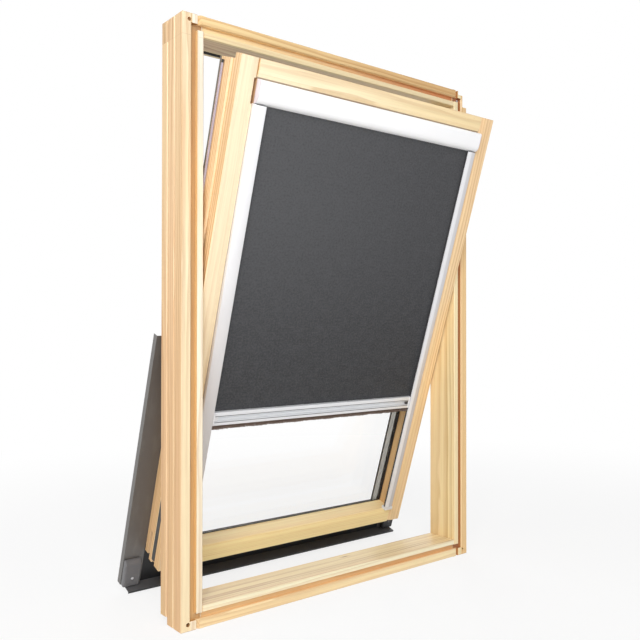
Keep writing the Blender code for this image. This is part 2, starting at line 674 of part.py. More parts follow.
def bent_ring(name, kind, half, low, high, width, foot, near, far, parent):
    """Make a rectangular ring of one strip; its lower run has a height of its own, the foot."""
    builder = bmesh.new()
    loops = []
    for inset, rise, depth in ((0.0, 0.0, near), (0.0, 0.0, far), (width, foot, far), (width, foot, near)):
        right = half - inset
        base = low + rise
        corners = ((-right, base), (right, base), (right, high - inset), (-right, high - inset))
        loops.append([builder.verts.new((across, depth, up)) for across, up in corners])
    for index in range(4):
        first, second = loops[index], loops[(index + 1) % 4]
        for step in range(4):
            after = (step + 1) % 4
            builder.faces.new((first[step], first[after], second[after], second[step]))
    return add_object(name, builder, kind, parent)


def build_glass(sash):
    """The sealed double glass with its spacer and the seals on both of its faces."""
    half = DAYLIGHT_HALF + GLASS_BITE
    low = BOTTOM_RAIL_HEIGHT - GLASS_BITE
    high = DAYLIGHT_TOP + GLASS_BITE
    for name, near in (("pane_inner", GLASS_FRONT), ("pane_outer", OUTER_PANE_FRONT)):
        builder = bmesh.new()
        add_block(builder, (-half, near, low), (half, near + PANE_THICKNESS, high))
        add_object(name, builder, "glass", sash)
    edge = SPACER_WIDTH - SPACER_SHOW
    bent_ring("pane_spacer", "grey_plastic", DAYLIGHT_HALF + edge, low + SPACER_FOOT_RISE, DAYLIGHT_TOP + edge,
              SPACER_WIDTH, SPACER_FOOT, SPACER_FRONT, SPACER_FRONT + PANE_GAP, sash)
    bent_ring("pane_room_seal", "black_rubber", DAYLIGHT_HALF - SEAT, BOTTOM_RAIL_HEIGHT + SEAT,
              DAYLIGHT_TOP - SEAT, ROOM_SEAL_WIDTH, ROOM_SEAL_FOOT, GLASS_SHOULDER - ROOM_SEAL_THICKNESS,
              GLASS_SHOULDER, sash)
    bent_ring("pane_outer_seal", "black_rubber", half, low, high, SPACER_WIDTH, COVER_FOOT_BITE,
              OUTER_SEAL_FRONT, SASH_DEPTH, sash)


def cover_side(label, side, sash):
    """The lower side cover: a plate behind the stile that reaches past the jamb, with a lip on its edge."""
    inner = DAYLIGHT_HALF - COVER_SHOW
    outer = SASH_HALF + COVER_OVERHANG
    split = SASH_HALF + 2 * SEAT
    top = PIVOT_U - COVER_START
    base = -BOTTOM_COVER_HANG
    outline = [(inner, BOTTOM_COVER_LAP + SEAT), (inner, top), (outer, top), (outer, base),
               (split, base), (split, BOTTOM_COVER_LAP + SEAT)]
    outline = [(side * across, up) for across, up in outline]
    plate = prism("cover_side_" + label, "dark_metal", outline, "Y", COVER_FRONT, COVER_BACK, parent=sash)
    lip = bmesh.new()
    first, second = sorted((side * outer, side * (outer - SHEET)))
    add_block(lip, (first, COVER_FRONT + SHEET / 2, base), (second, COVER_BACK + COVER_LIP, top))
    carve(plate, lip, "UNION")


def upper_profile(label, side, sash):
    """The narrow profile that holds the upper half of the glass on a stile."""
    inner = DAYLIGHT_HALF - COVER_SHOW
    low = PIVOT_U - COVER_START + SEAT
    high = SASH_HEIGHT - STILE_TOP_STEP
    lip_root = COVER_FRONT + SHEET / 2
    outline = [(inner, COVER_FRONT), (SASH_HALF, COVER_FRONT), (SASH_HALF, COVER_FRONT + 4 * SHEET),
               (SASH_HALF - SHEET, COVER_FRONT + 4 * SHEET), (SASH_HALF - SHEET, lip_root + SHEET / 2),
               (inner, COVER_BACK)]
    outline = [(side * across, depth) for across, depth in outline]
    prism("profile_upper_" + label, "dark_metal", outline, "Z", low, high, parent=sash)


def top_profile(sash):
    """The profile that holds the upper edge of the glass on the top rail."""
    half = DAYLIGHT_HALF - COVER_SHOW - SEAT
    low = DAYLIGHT_TOP - COVER_SHOW
    high = SASH_HEIGHT - STILE_TOP_STEP
    outline = [(COVER_FRONT, low), (COVER_BACK, low), (COVER_BACK, high - SHEET), (COVER_FRONT + 4 * SHEET,
               high - SHEET), (COVER_FRONT + 4 * SHEET, high), (COVER_FRONT, high)]
    prism("profile_top", "dark_metal", outline, "X", -half, half, parent=sash)


def cover_bottom(sash):
    """The lower cover: a plate that hangs below the bottom rail, and a flange turned to the room."""
    narrow = DAYLIGHT_HALF - COVER_SHOW - SEAT
    wide = SASH_HALF + SEAT
    base = -BOTTOM_COVER_HANG
    step = BOTTOM_COVER_LAP
    high = BOTTOM_RAIL_HEIGHT - GLASS_BITE + COVER_FOOT_BITE
    low = base - SHEET / 2
    outline = [(-wide, low), (wide, low), (wide, step), (narrow, step), (narrow, high), (-narrow, high),
               (-narrow, step), (-wide, step)]
    plate = prism("cover_bottom", "dark_metal", outline, "Y", COVER_FRONT, COVER_BACK, parent=sash)
    reach = COVER_BACK - BOTTOM_FLANGE_REACH
    half = SASH_HALF + BOTTOM_FLANGE_OVERHANG
    top = base - SEAT
    flange = bmesh.new()
    add_block(flange, (-half, reach, top - SHEET), (half, COVER_BACK, top))
    carve(plate, flange, "UNION")
    lip = bmesh.new()
    add_block(lip, (-half, reach, top - BOTTOM_FLANGE_LIP), (half, reach + SHEET, top - SHEET / 2))
    carve(plate, lip, "UNION")


def end_block(label, side, sash):
    """The plastic block that closes the corner between a side cover and the bottom cover."""
    outer = SASH_HALF + COVER_OVERHANG - 2 * SEAT
    inner = outer - END_BLOCK_WIDTH
    high = -BOTTOM_COVER_HANG + END_BLOCK_HEIGHT
    low = -BOTTOM_COVER_HANG + SEAT
    back = COVER_FRONT - SEAT
    front = back - END_BLOCK_DEPTH
    slope = END_BLOCK_DEPTH / 2
    outline = [(front, low), (back, low), (back, high), (front + slope, high), (front, high - slope)]
    builder = bmesh.new()
    first, second = sorted((side * inner, side * outer))
    add_prism(builder, outline, "X", first, second)
    block = add_object("end_block_" + label, builder, "grey_plastic", sash)
    ease_edges(block, END_BLOCK_EDGE)


def end_block_screw(label, side, sash):
    """The dome screw on the room face of an end block."""
    face = COVER_FRONT - SEAT - END_BLOCK_DEPTH - SEAT
    across = SASH_HALF + COVER_OVERHANG - 2 * SEAT - END_BLOCK_WIDTH / 2
    centre = (side * across, -BOTTOM_COVER_HANG + END_BLOCK_HEIGHT / 3)
    rings = [(COVER_SCREW_HEAD, face), (COVER_SCREW_HEAD, face - COVER_SCREW_HEIGHT / 2),
             (COVER_SCREW_HEAD / 2, face - COVER_SCREW_HEIGHT)]
    builder = bmesh.new()
    add_turned(builder, rings, "Y", centre, sides=16)
    smooth_round(add_object("end_block_screw_" + label, builder, "steel", sash))


def build_covers(sash):
    """Build the outer metal covers of the sash."""
    for label, side in SIDES:
        cover_side(label, side, sash)
        upper_profile(label, side, sash)
        end_block(label, side, sash)
        end_block_screw(label, side, sash)
    top_profile(sash)
    cover_bottom(sash)


def build_sash(sash):
    """Build the pine sash and its seals."""
    for label, side in SIDES:
        sash_stile(label, side, sash)
        side_seal(label, side, sash)
    sash_rail("sash_top_rail", DAYLIGHT_TOP, SASH_HEIGHT, sash)
    sash_rail("sash_bottom_rail", 0.0, BOTTOM_RAIL_HEIGHT, sash)


def arc(centre, radius, start, end, steps):
    """Points on an arc, with its angles in degrees."""
    points = []
    for step in range(steps + 1):
        angle = math.radians(start + (end - start) * step / steps)
        points.append((centre[0] + radius * math.cos(angle), centre[1] + radius * math.sin(angle)))
    return points


def headbox_outline(inset=0.0):
    """Outer line of the headbox front from its rear top edge round the nose to the lip at the fabric slot."""
    front = -HEADBOX_PROUD + inset
    top = HEADBOX_TOP - inset
    nose = HEADBOX_NOSE - inset
    lip_radius = HEADBOX_LIP_RISE - inset
    bottom = HEADBOX_BOTTOM + inset
    points = [(HEADBOX_LAP, top)]
    points += arc((front + nose, top - nose), nose, 90, 180, 4)
    points += arc((front + lip_radius, bottom + lip_radius), lip_radius, 180, 270, 6)
    return points


def headbox_cover(sash):
    """The front shell of the headbox."""
    outside = headbox_outline()
    inside = headbox_outline(HEADBOX_WALL)
    half = HEADBOX_HALF - HEADBOX_CAP - SEAT
    made = prism("headbox_cover", "white_metal", outside + inside[::-1], "X", -half, half, parent=sash)
    smooth_round(made)


def headbox_back(sash):
    """The rear carrier of the headbox, screwed to the top rail."""
    back = HEADBOX_DEPTH_BEHIND
    wall = HEADBOX_WALL
    top = HEADBOX_TOP
    low = HEADBOX_BOTTOM
    front_top = HEADBOX_LAP + SEAT
    front_low = HEADBOX_LIP_RISE - HEADBOX_PROUD + HEADBOX_SLOT
    outline = [(front_top, top), (back, top), (back, low), (front_low, low), (front_low, low + wall),
               (back - wall, low + wall), (back - wall, top - wall), (front_top, top - wall)]
    half = HEADBOX_HALF - HEADBOX_CAP - SEAT
    prism("headbox_back", "white_metal", outline, "X", -half, half, parent=sash)


def headbox_cap(label, side, sash):
    """The end cap of the headbox."""
    outline = headbox_outline()[1:]
    outline += [(HEADBOX_DEPTH_BEHIND, HEADBOX_BOTTOM), (HEADBOX_DEPTH_BEHIND, HEADBOX_TOP)]
    outer = side * HEADBOX_HALF
    inner = outer - side * HEADBOX_CAP
    first, second = sorted((inner, outer))
    prism("headbox_cap_" + label, "white_plastic", outline, "X", first, second, parent=sash)


def roller_bracket(label, side, sash):
    """The plate inside the headbox that carries one end of the roller."""
    outer = side * (HEADBOX_HALF - HEADBOX_CAP - 2 * SEAT)
    inner = outer - side * BRACKET_THICKNESS
    margin = HEADBOX_WALL + SEAT
    low = HEADBOX_BOTTOM + margin
    high = HEADBOX_TOP - margin
    near = -HEADBOX_PROUD + HEADBOX_LIP_RISE
    far = HEADBOX_DEPTH_BEHIND - margin
    builder = bmesh.new()
    first, second = sorted((inner, outer))
    add_prism(builder, [(near, low), (far, low), (far, high), (near, high)], "X", first, second)
    bracket = add_object("roller_bracket_" + label, builder, "steel", sash)
    hole = bmesh.new()
    radius = SHAFT_RADIUS + PIVOT_CLEARANCE
    rings = [(radius, first - CUT_OVERLAP), (radius, second + CUT_OVERLAP)]
    add_turned(hole, rings, "X", (ROLLER_T, ROLLER_U))
    carve(bracket, hole)


def build_headbox(sash):
    """Build the fixed parts of the headbox."""
    headbox_cover(sash)
    headbox_back(sash)
    for label, side in SIDES:
        headbox_cap(label, side, sash)
        roller_bracket(label, side, sash)


def build_roller(sash):
    """Build the roller tube, the fabric wound on it, its two end plugs, its shaft and its spring."""
    roller = empty("roller_axis", (0.0, ROLLER_T, ROLLER_U), sash)
    bracket_face = HEADBOX_HALF - HEADBOX_CAP - 2 * SEAT - BRACKET_THICKNESS
    tube_half = bracket_face - SEAT
    centre = (0.0, 0.0)
    bore = TUBE_RADIUS - TUBE_WALL
    tube = bmesh.new()
    add_sleeve(tube, TUBE_RADIUS, bore, "X", centre, -tube_half, tube_half)
    smooth_round(add_object("roller_tube", tube, "silver", roller))
    winding = bmesh.new()
    add_sleeve(winding, ROLL_RADIUS, TUBE_RADIUS + SEAT, "X", centre, -FABRIC_HALF, FABRIC_HALF)
    smooth_round(add_object("fabric_roll", winding, "fabric", roller))
    idler = bmesh.new()
    plug = bore - SEAT
    stub_end = -(HEADBOX_HALF - HEADBOX_CAP - 2 * SEAT)
    add_turned(idler, [(plug, -tube_half + PLUG_LENGTH), (plug, -tube_half), (SHAFT_RADIUS, -tube_half),
                       (SHAFT_RADIUS, stub_end)], "X", centre)
    smooth_round(add_object("roller_idler", idler, "white_plastic", roller))
    carrier = bmesh.new()
    add_sleeve(carrier, plug, SHAFT_RADIUS + PIVOT_CLEARANCE, "X", centre, tube_half - PLUG_LENGTH, tube_half)
    smooth_round(add_object("roller_spring_plug", carrier, "white_plastic", roller))
    shaft = bmesh.new()
    shaft_start = tube_half - PLUG_LENGTH - SPRING_LENGTH
    collar = SPRING_RADIUS - SPRING_WALL - SEAT
    collar_end = shaft_start + PLUG_LENGTH / 2
    add_turned(shaft, [(collar, shaft_start), (collar, collar_end), (SHAFT_RADIUS, collar_end),
                       (SHAFT_RADIUS, -stub_end)], "X", (ROLLER_T, ROLLER_U))
    smooth_round(add_object("roller_shaft", shaft, "steel", sash))
    spring = bmesh.new()
    spring_end = tube_half - PLUG_LENGTH - SEAT
    add_sleeve(spring, SPRING_RADIUS, SPRING_RADIUS - SPRING_WALL, "X", centre, shaft_start, spring_end)
    smooth_round(add_object("roller_spring", spring, "steel", roller))


def fabric_sheet(sash):
    """The blackout fabric, from its roll to the bottom bar, with its edges inside the side rails."""
    near = FABRIC_SETBACK - FABRIC_THICKNESS / 2
    builder = bmesh.new()
    add_block(builder, (-FABRIC_HALF, near, BAR_TOP + SEAT), (FABRIC_HALF, near + FABRIC_THICKNESS, ROLLER_U))
    add_object("blind_fabric", builder, "fabric", sash)


def side_rail(label, side, sash):
    """The guide rail of the fabric: a channel that opens towards the middle of the window."""
    outer = SIDE_RAIL_OUTER
    inner = SIDE_RAIL_INNER
    front = -SIDE_RAIL_PROUD
    back = front + SIDE_RAIL_DEPTH
    wall = SIDE_RAIL_WALL
    rear = outer - SIDE_RAIL_REAR
    outline = [(inner, front), (outer, front), (outer, back), (rear, back), (rear, back - wall),
               (outer - wall, back - wall), (outer - wall, front + wall), (inner + wall, front + wall),
               (inner + wall, front + wall + SIDE_RAIL_HOOK), (inner, front + wall + SIDE_RAIL_HOOK)]
    outline = [(side * across, depth) for across, depth in outline]
    prism("side_rail_" + label, "white_metal", outline, "Z", SIDE_RAIL_BASE, HEADBOX_BOTTOM - SEAT,
          parent=sash)


def rail_foot(label, side, sash):
    """The plastic foot that closes a side rail on the bottom rail."""
    outer = SIDE_RAIL_OUTER
    inner = SIDE_RAIL_INNER
    front = -SIDE_RAIL_PROUD
    back = front + SIDE_RAIL_DEPTH
    builder = bmesh.new()
    first, second = sorted((side * inner, side * outer))
    add_block(builder, (first, front, FOOT_BASE), (second, back, FOOT_BASE + RAIL_FOOT_HEIGHT))
    foot = add_object("rail_foot_" + label, builder, "white_plastic", sash)
    ease_edges(foot, SEAT * 2)


def build_rails(sash):
    """Build the side rails with their feet."""
    for label, side in SIDES:
        side_rail(label, side, sash)
        rail_foot(label, side, sash)


def bar_outline():
    """Cross-section of the bottom bar: three ribs in front with the finger groove between the lower two."""
    front = -BAR_PROUD
    floor = front + BAR_GROOVE_DEPTH
    top = BAR_TOP
    low = BAR_TOP - BAR_HEIGHT
    groove_top = top - 2 * BAR_RIB
    groove_low = low + BAR_RIB
    mid = (groove_top + groove_low) / 2
    half_rib = BAR_RIB / 2
    return [(BAR_BACK, low), (BAR_BACK, top), (front, top), (front, groove_top), (floor, groove_top),
            (floor, mid + half_rib / 2), (front + BAR_GROOVE_DEPTH / 3, mid + half_rib / 2),
            (front + BAR_GROOVE_DEPTH / 3, mid - half_rib / 2), (floor, mid - half_rib / 2),
            (floor, groove_low), (front, groove_low), (front, low)]


def build_bottom_bar(sash):
    """Build the bottom bar with its end glides and its brush seal."""
    bar = empty("bar_slide", (0.0, 0.0, 0.0), sash)
    half = SIDE_RAIL_INNER - BAR_END_ROOM
    prism("bottom_bar", "silver", bar_outline(), "X", -half, half, parent=bar)
    near = -SIDE_RAIL_PROUD + SIDE_RAIL_WALL + SIDE_RAIL_HOOK + GLIDE_ROOM
    middle = BAR_TOP - BAR_HEIGHT / 2
    for label, side in SIDES:
        root = half + SEAT
        tip = SIDE_RAIL_OUTER - SIDE_RAIL_WALL - GLIDE_ROOM
        first, second = sorted((side * root, side * tip))
        glide = bmesh.new()
        add_block(glide, (first, near, middle - GLIDE_HEIGHT / 2),
                  (second, near + GLIDE_THICKNESS, middle + GLIDE_HEIGHT / 2))
        ease_edges(add_object("bar_glide_" + label, glide, "white_plastic", bar), SEAT * 2)
    brush_seal(half, bar)


def brush_seal(half, bar):
    """The brush under the bottom bar: a backing strip with one row of uneven bristles hanging from it."""
    top = BAR_TOP - BAR_HEIGHT - SEAT
    root = top - BRUSH_BACKING
    pitch = 2 * half / BRISTLE_COUNT
    outline = [(half, top), (-half, top)]
    for index in range(BRISTLE_COUNT):
        left = -half + index * pitch
        middle = left + pitch / 2 + BRISTLE_LEAN * math.sin(index * 2.1)
        uneven = 0.5 + 0.5 * math.sin(index * 1.7 + math.sin(index * 0.31))
        tip = root - BRISTLE_LENGTH + BRISTLE_RAGGEDNESS * uneven
        outline += [(left, root), (middle, tip)]
    outline.append((half, root))
    near = (BAR_BACK - BAR_PROUD - BRUSH_THICKNESS) / 2
    prism("bar_brush", "brush", outline, "Y", near, near + BRUSH_THICKNESS, parent=bar)


def main():
    """Build the whole window and its blind."""
    clear_scene()
    build_frame()
    pivot = empty("sash_pivot", (0.0, PIVOT_Y, PIVOT_Z), tilt=OPEN_ANGLE)
    sash = empty("sash_datum", (0.0, -PIVOT_DEPTH, -PIVOT_U), pivot)
    build_hinges(pivot)
    build_sash(sash)
    build_glass(sash)
    build_covers(sash)
    build_headbox(sash)
    build_roller(sash)
    fabric_sheet(sash)
    build_rails(sash)
    build_bottom_bar(sash)
    bpy.context.view_layer.update()


main()
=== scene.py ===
"""Looks of a centre-pivot pine roof window whose tilted sash carries a dark roller blind.

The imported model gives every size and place. This script dresses its pieces with procedural finishes,
replaces the soft and the finely shaped ones with detailed meshes, and sets up the camera and the studio.
All lengths are metres. Sash pieces are drawn in the sash's own axes: x across, t behind its room face and
u above its lower edge.
"""
import json
import logging
import math
import random
from dataclasses import dataclass, field
from enum import Enum

import bmesh
import bpy
from mathutils import Matrix, Vector

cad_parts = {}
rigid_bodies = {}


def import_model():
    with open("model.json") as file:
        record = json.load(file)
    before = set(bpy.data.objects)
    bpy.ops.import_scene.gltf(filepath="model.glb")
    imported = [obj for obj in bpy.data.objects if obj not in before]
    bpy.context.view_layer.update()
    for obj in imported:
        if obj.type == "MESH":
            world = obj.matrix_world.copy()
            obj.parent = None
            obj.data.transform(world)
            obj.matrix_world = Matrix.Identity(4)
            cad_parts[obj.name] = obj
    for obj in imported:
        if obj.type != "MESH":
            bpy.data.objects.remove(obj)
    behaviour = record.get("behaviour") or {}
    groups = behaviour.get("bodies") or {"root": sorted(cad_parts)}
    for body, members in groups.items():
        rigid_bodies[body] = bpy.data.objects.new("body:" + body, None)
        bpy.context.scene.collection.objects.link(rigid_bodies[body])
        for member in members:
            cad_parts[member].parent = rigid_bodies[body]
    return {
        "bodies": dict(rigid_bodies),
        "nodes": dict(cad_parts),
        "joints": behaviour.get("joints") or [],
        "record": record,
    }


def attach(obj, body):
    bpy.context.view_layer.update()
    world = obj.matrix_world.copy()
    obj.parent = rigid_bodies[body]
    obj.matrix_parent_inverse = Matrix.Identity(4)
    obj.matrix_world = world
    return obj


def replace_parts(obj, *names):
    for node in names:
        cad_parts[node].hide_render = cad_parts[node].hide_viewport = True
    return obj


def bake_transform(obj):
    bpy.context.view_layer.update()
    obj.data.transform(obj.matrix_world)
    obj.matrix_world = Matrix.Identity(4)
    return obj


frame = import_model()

LOG = logging.getLogger("roof_window")
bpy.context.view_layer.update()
SEAT = 0.0003
SIDES = (("left", -1), ("right", 1))

Colour = tuple[float, float, float]
Pair = tuple[float, float]
Triple = tuple[float, float, float]


class Field:
    """One output of a shader tree. Arithmetic on it adds Math nodes to the tree."""

    def __init__(self, sheet: "NodeSheet", socket: bpy.types.NodeSocket) -> None:
        """Wrap an output socket of a shader tree."""
        self.sheet = sheet
        self.socket = socket

    def maths(self, operation: str, first: "Field | float", second: "Field | float" = 0.0) -> "Field":
        """Add one Math node with one or two values, and give its result."""
        return self.sheet.node("ShaderNodeMath", {"operation": operation}, {0: first, 1: second})

    def __add__(self, other: "Field | float") -> "Field":
        """Sum."""
        return self.maths("ADD", self, other)

    __radd__ = __add__

    def __sub__(self, other: "Field | float") -> "Field":
        """Difference."""
        return self.maths("SUBTRACT", self, other)

    def __rsub__(self, other: "Field | float") -> "Field":
        """Difference from a number."""
        return self.maths("SUBTRACT", other, self)

    def __mul__(self, other: "Field | float") -> "Field":
        """Product."""
        return self.maths("MULTIPLY", self, other)

    __rmul__ = __mul__

    def __truediv__(self, other: "Field | float") -> "Field":
        """Quotient."""
        return self.maths("DIVIDE", self, other)

    def __pow__(self, other: float) -> "Field":
        """Power."""
        return self.maths("POWER", self, other)

    def fraction(self) -> "Field":
        """Part after the decimal point."""
        return self.maths("FRACT", self)

    def size(self) -> "Field":
        """Absolute value."""
        return self.maths("ABSOLUTE", self)

    def sine(self) -> "Field":
        """Sine of an angle in radians."""
        return self.maths("SINE", self)

    def root(self) -> "Field":
        """Square root."""
        return self.maths("SQRT", self)

    def rise(self, low: float, high: float) -> "Field":
        """Climb smoothly from 0 at one value to 1 at another.

        Args:
            low: value where the result leaves one end.
            high: value where it reaches the other end.

        Returns:
            The smooth step.
        """
        settings = {"interpolation_type": "SMOOTHSTEP"}
        start, end = (0.0, 1.0) if low < high else (1.0, 0.0)
        low, high = sorted((low, high))
        sockets = {0: self, 1: low, 2: high, 3: start, 4: end}
        return self.sheet.node("ShaderNodeMapRange", settings, sockets)

    def band(self, low: float, high: float, edge: float) -> "Field":
        """Mask that is 1 between two values, with a soft edge on each side."""
        return self.rise(low - edge, low) * self.rise(high + edge, high)


Place = tuple[Field, Field, Field]


class NodeSheet:
    """A node tree, drawn by method calls."""

    def __init__(self, tree: bpy.types.NodeTree) -> None:
        """Draw on a tree that is there already."""
        self.tree = tree

    def seen(self) -> Field:
        """Give 1 to rays from the camera, gloss or glass, and 0 to those that gather light.

        Returns:
            The mask of those rays.
        """
        camera = self.node("ShaderNodeLightPath", output="Is Camera Ray")
        outputs = camera.socket.node.outputs
        seen = camera.maths("MAXIMUM", camera, Field(self, outputs["Is Glossy Ray"]))
        return seen.maths("MAXIMUM", seen, Field(self, outputs["Is Transmission Ray"]))

    def node(self, kind: str, settings: dict | None = None, sockets: dict | None = None,
             output: int | str = 0) -> Field:
        """Add any node.

        Args:
            kind: the node's type.
            settings: properties, set first.
            sockets: values or fields by socket name or number.
            output: which output to return.

        Returns:
            The chosen output.
        """
        made = self.tree.nodes.new(kind)
        for key, value in (settings or {}).items():
            setattr(made, key, value)
        for key, value in (sockets or {}).items():
            self.feed(made.inputs[key], value)
        return Field(self, made.outputs[output])

    def feed(self, socket: bpy.types.NodeSocket, value: "Field | float | tuple") -> None:
        """Link a field to a socket, or set the socket's own value.

        Args:
            socket: the input socket.
            value: a field, a number, a colour or a vector.
        """
        if isinstance(value, Field):
            self.tree.links.new(value.socket, socket)
        elif isinstance(value, tuple) and len(socket.default_value) == 4 and len(value) == 3:
            socket.default_value = (*value, 1.0)
        else:
            socket.default_value = value


class ShaderSheet(NodeSheet):
    """A material's node tree, with the patterns that the finishes are drawn from."""

    def __init__(self, name: str) -> None:
        """Start a material with a Principled shader and nothing else.

        Args:
            name: the material's name.
        """
        self.material = bpy.data.materials.new(name)
        self.material.use_nodes = True
        super().__init__(self.material.node_tree)
        self.shader = self.tree.nodes["Principled BSDF"]

    def place(self, tilt: float = 0.0, kind: str = "Object") -> Field:
        """Coordinates in metres, turned about X so that a tilted member stands upright.

        Args:
            tilt: lean of the member, in radians.
            kind: "Object" for the point, or "Normal" for the way that the surface faces.

        Returns:
            The vector.
        """
        point = self.node("ShaderNodeTexCoord", output=kind)
        if not tilt:
            return point
        return self.node("ShaderNodeMapping", {"vector_type": "POINT"},
                         {"Vector": point, "Rotation": (-tilt, 0.0, 0.0)})

    def split(self, vector: Field) -> Place:
        """Give the three parts of a vector.

        Args:
            vector: the vector.

        Returns:
            Its parts.
        """
        parts = self.node("ShaderNodeSeparateXYZ", None, {0: vector})
        outputs = parts.socket.node.outputs
        return parts, Field(self, outputs[1]), Field(self, outputs[2])

    def join(self, first: Field | float, second: Field | float, third: Field | float) -> Field:
        """Make a vector of three values."""
        return self.node("ShaderNodeCombineXYZ", None, {0: first, 1: second, 2: third})

    def stretch(self, vector: Field, factors: Triple) -> Field:
        """Multiply a vector part by part."""
        return self.node("ShaderNodeVectorMath", {"operation": "MULTIPLY"}, {0: vector, 1: factors})

    def noise(self, vector: Field, scale: float, detail: float = 2.0, rough: float = 0.5) -> Field:
        """Smooth noise from 0 to 1, with octaves and the weight of the finer ones."""
        return self.node("ShaderNodeTexNoise", None,
                         {"Vector": vector, "Scale": scale, "Detail": detail, "Roughness": rough})

    def specks(self, vector: Field, scale: float) -> Field:
        """Distance to the nearest point of a scattered set."""
        return self.node("ShaderNodeTexVoronoi", None, {"Vector": vector, "Scale": scale})

    def mix(self, share: Field | float, first: Field | Colour, second: Field | Colour,
            how: str = "MIX") -> Field:
        """Mix two colours: share 0 gives the first, and share 1 the second."""
        settings = {"data_type": "RGBA", "blend_type": how, "clamp_factor": True}
        return self.node("ShaderNodeMix", settings, {0: share, 6: first, 7: second}, output=2)

    def relief(self, height: Field, depth: float) -> Field:
        """Bumped normal of a height from 0 to 1, given the depth of that step in metres."""
        return self.node("ShaderNodeBump", None, {"Strength": 1.0, "Distance": depth, "Height": height})

    def done(self, colour: Field | Colour, rough: Field | float, normal: Field | None = None,
             **constants: float | tuple) -> bpy.types.Material:
        """Feed the shader and hand over the material.

        Args:
            colour: base colour.
            rough: roughness.
            normal: bumped normal.
            **constants: other shader sockets, named with underscores for spaces.

        Returns:
            The finished material.
        """
        self.feed(self.shader.inputs["Base Color"], colour)
        self.feed(self.shader.inputs["Roughness"], rough)
        if normal is not None:
            self.feed(self.shader.inputs["Normal"], normal)
        for key, value in constants.items():
            self.feed(self.shader.inputs[key.replace("_", " ")], value)
        return self.material


class Finish:
    """A finish that paints one material the first time it is asked for."""

    slot = ""
    _made: dict["Finish", bpy.types.Material] = {}

    def material(self) -> bpy.types.Material:
        """Give the finish's material, painted once.

        Returns:
            The material.
        """
        if self not in Finish._made:
            Finish._made[self] = self.paint(ShaderSheet(self.slot + "_" + str(len(Finish._made))))
        return Finish._made[self]

    def paint(self, sheet: ShaderSheet) -> bpy.types.Material:
        """Draw the material's nodes."""
        raise NotImplementedError


class Grain(Enum):
    """Which way the fibres of a member run: along its own height or across the window."""

    UPRIGHT = "upright"
    LEVEL = "level"


@dataclass(frozen=True)
class Groove:
    """The stained lining groove in a frame member's room face, and the rim of wood beyond it. The floor
    is painted darker than the walls as painted shade.

    Attributes:
        low: where the groove starts, across the grain.
        high: where it ends.
        face: depth of the room face.
        floor: depth of the groove's floor.
        start: colour of the floor at the member's first end: the stain, darkened as painted shade.
        end: colour of the floor at its other end, likewise stain and painted shade.
        wall: colour of the groove's walls.
        rim: tint of the wood beyond the groove, at the first end.
        rim_end: that tint at the other end.
        beyond: where the rim starts, across the grain.
        span: where the groove starts and ends along the grain.
        bleed: where the ragged darker band over the groove's outer edge begins, along the grain.
        edge: softness of the limits.
        patch: tint of the darker patches on the floor.
        spill: colour of that ragged band.
    """

    low: float
    high: float
    face: float
    floor: float
    start: Colour
    end: Colour
    wall: Colour
    rim: Colour
    rim_end: Colour
    beyond: Pair
    span: Pair
    bleed: Pair = (9.0, 10.0)
    edge: float = 0.0003
    patch: Colour = (0.60, 0.42, 0.22)
    spill: Colour = (0.62, 0.40, 0.16)


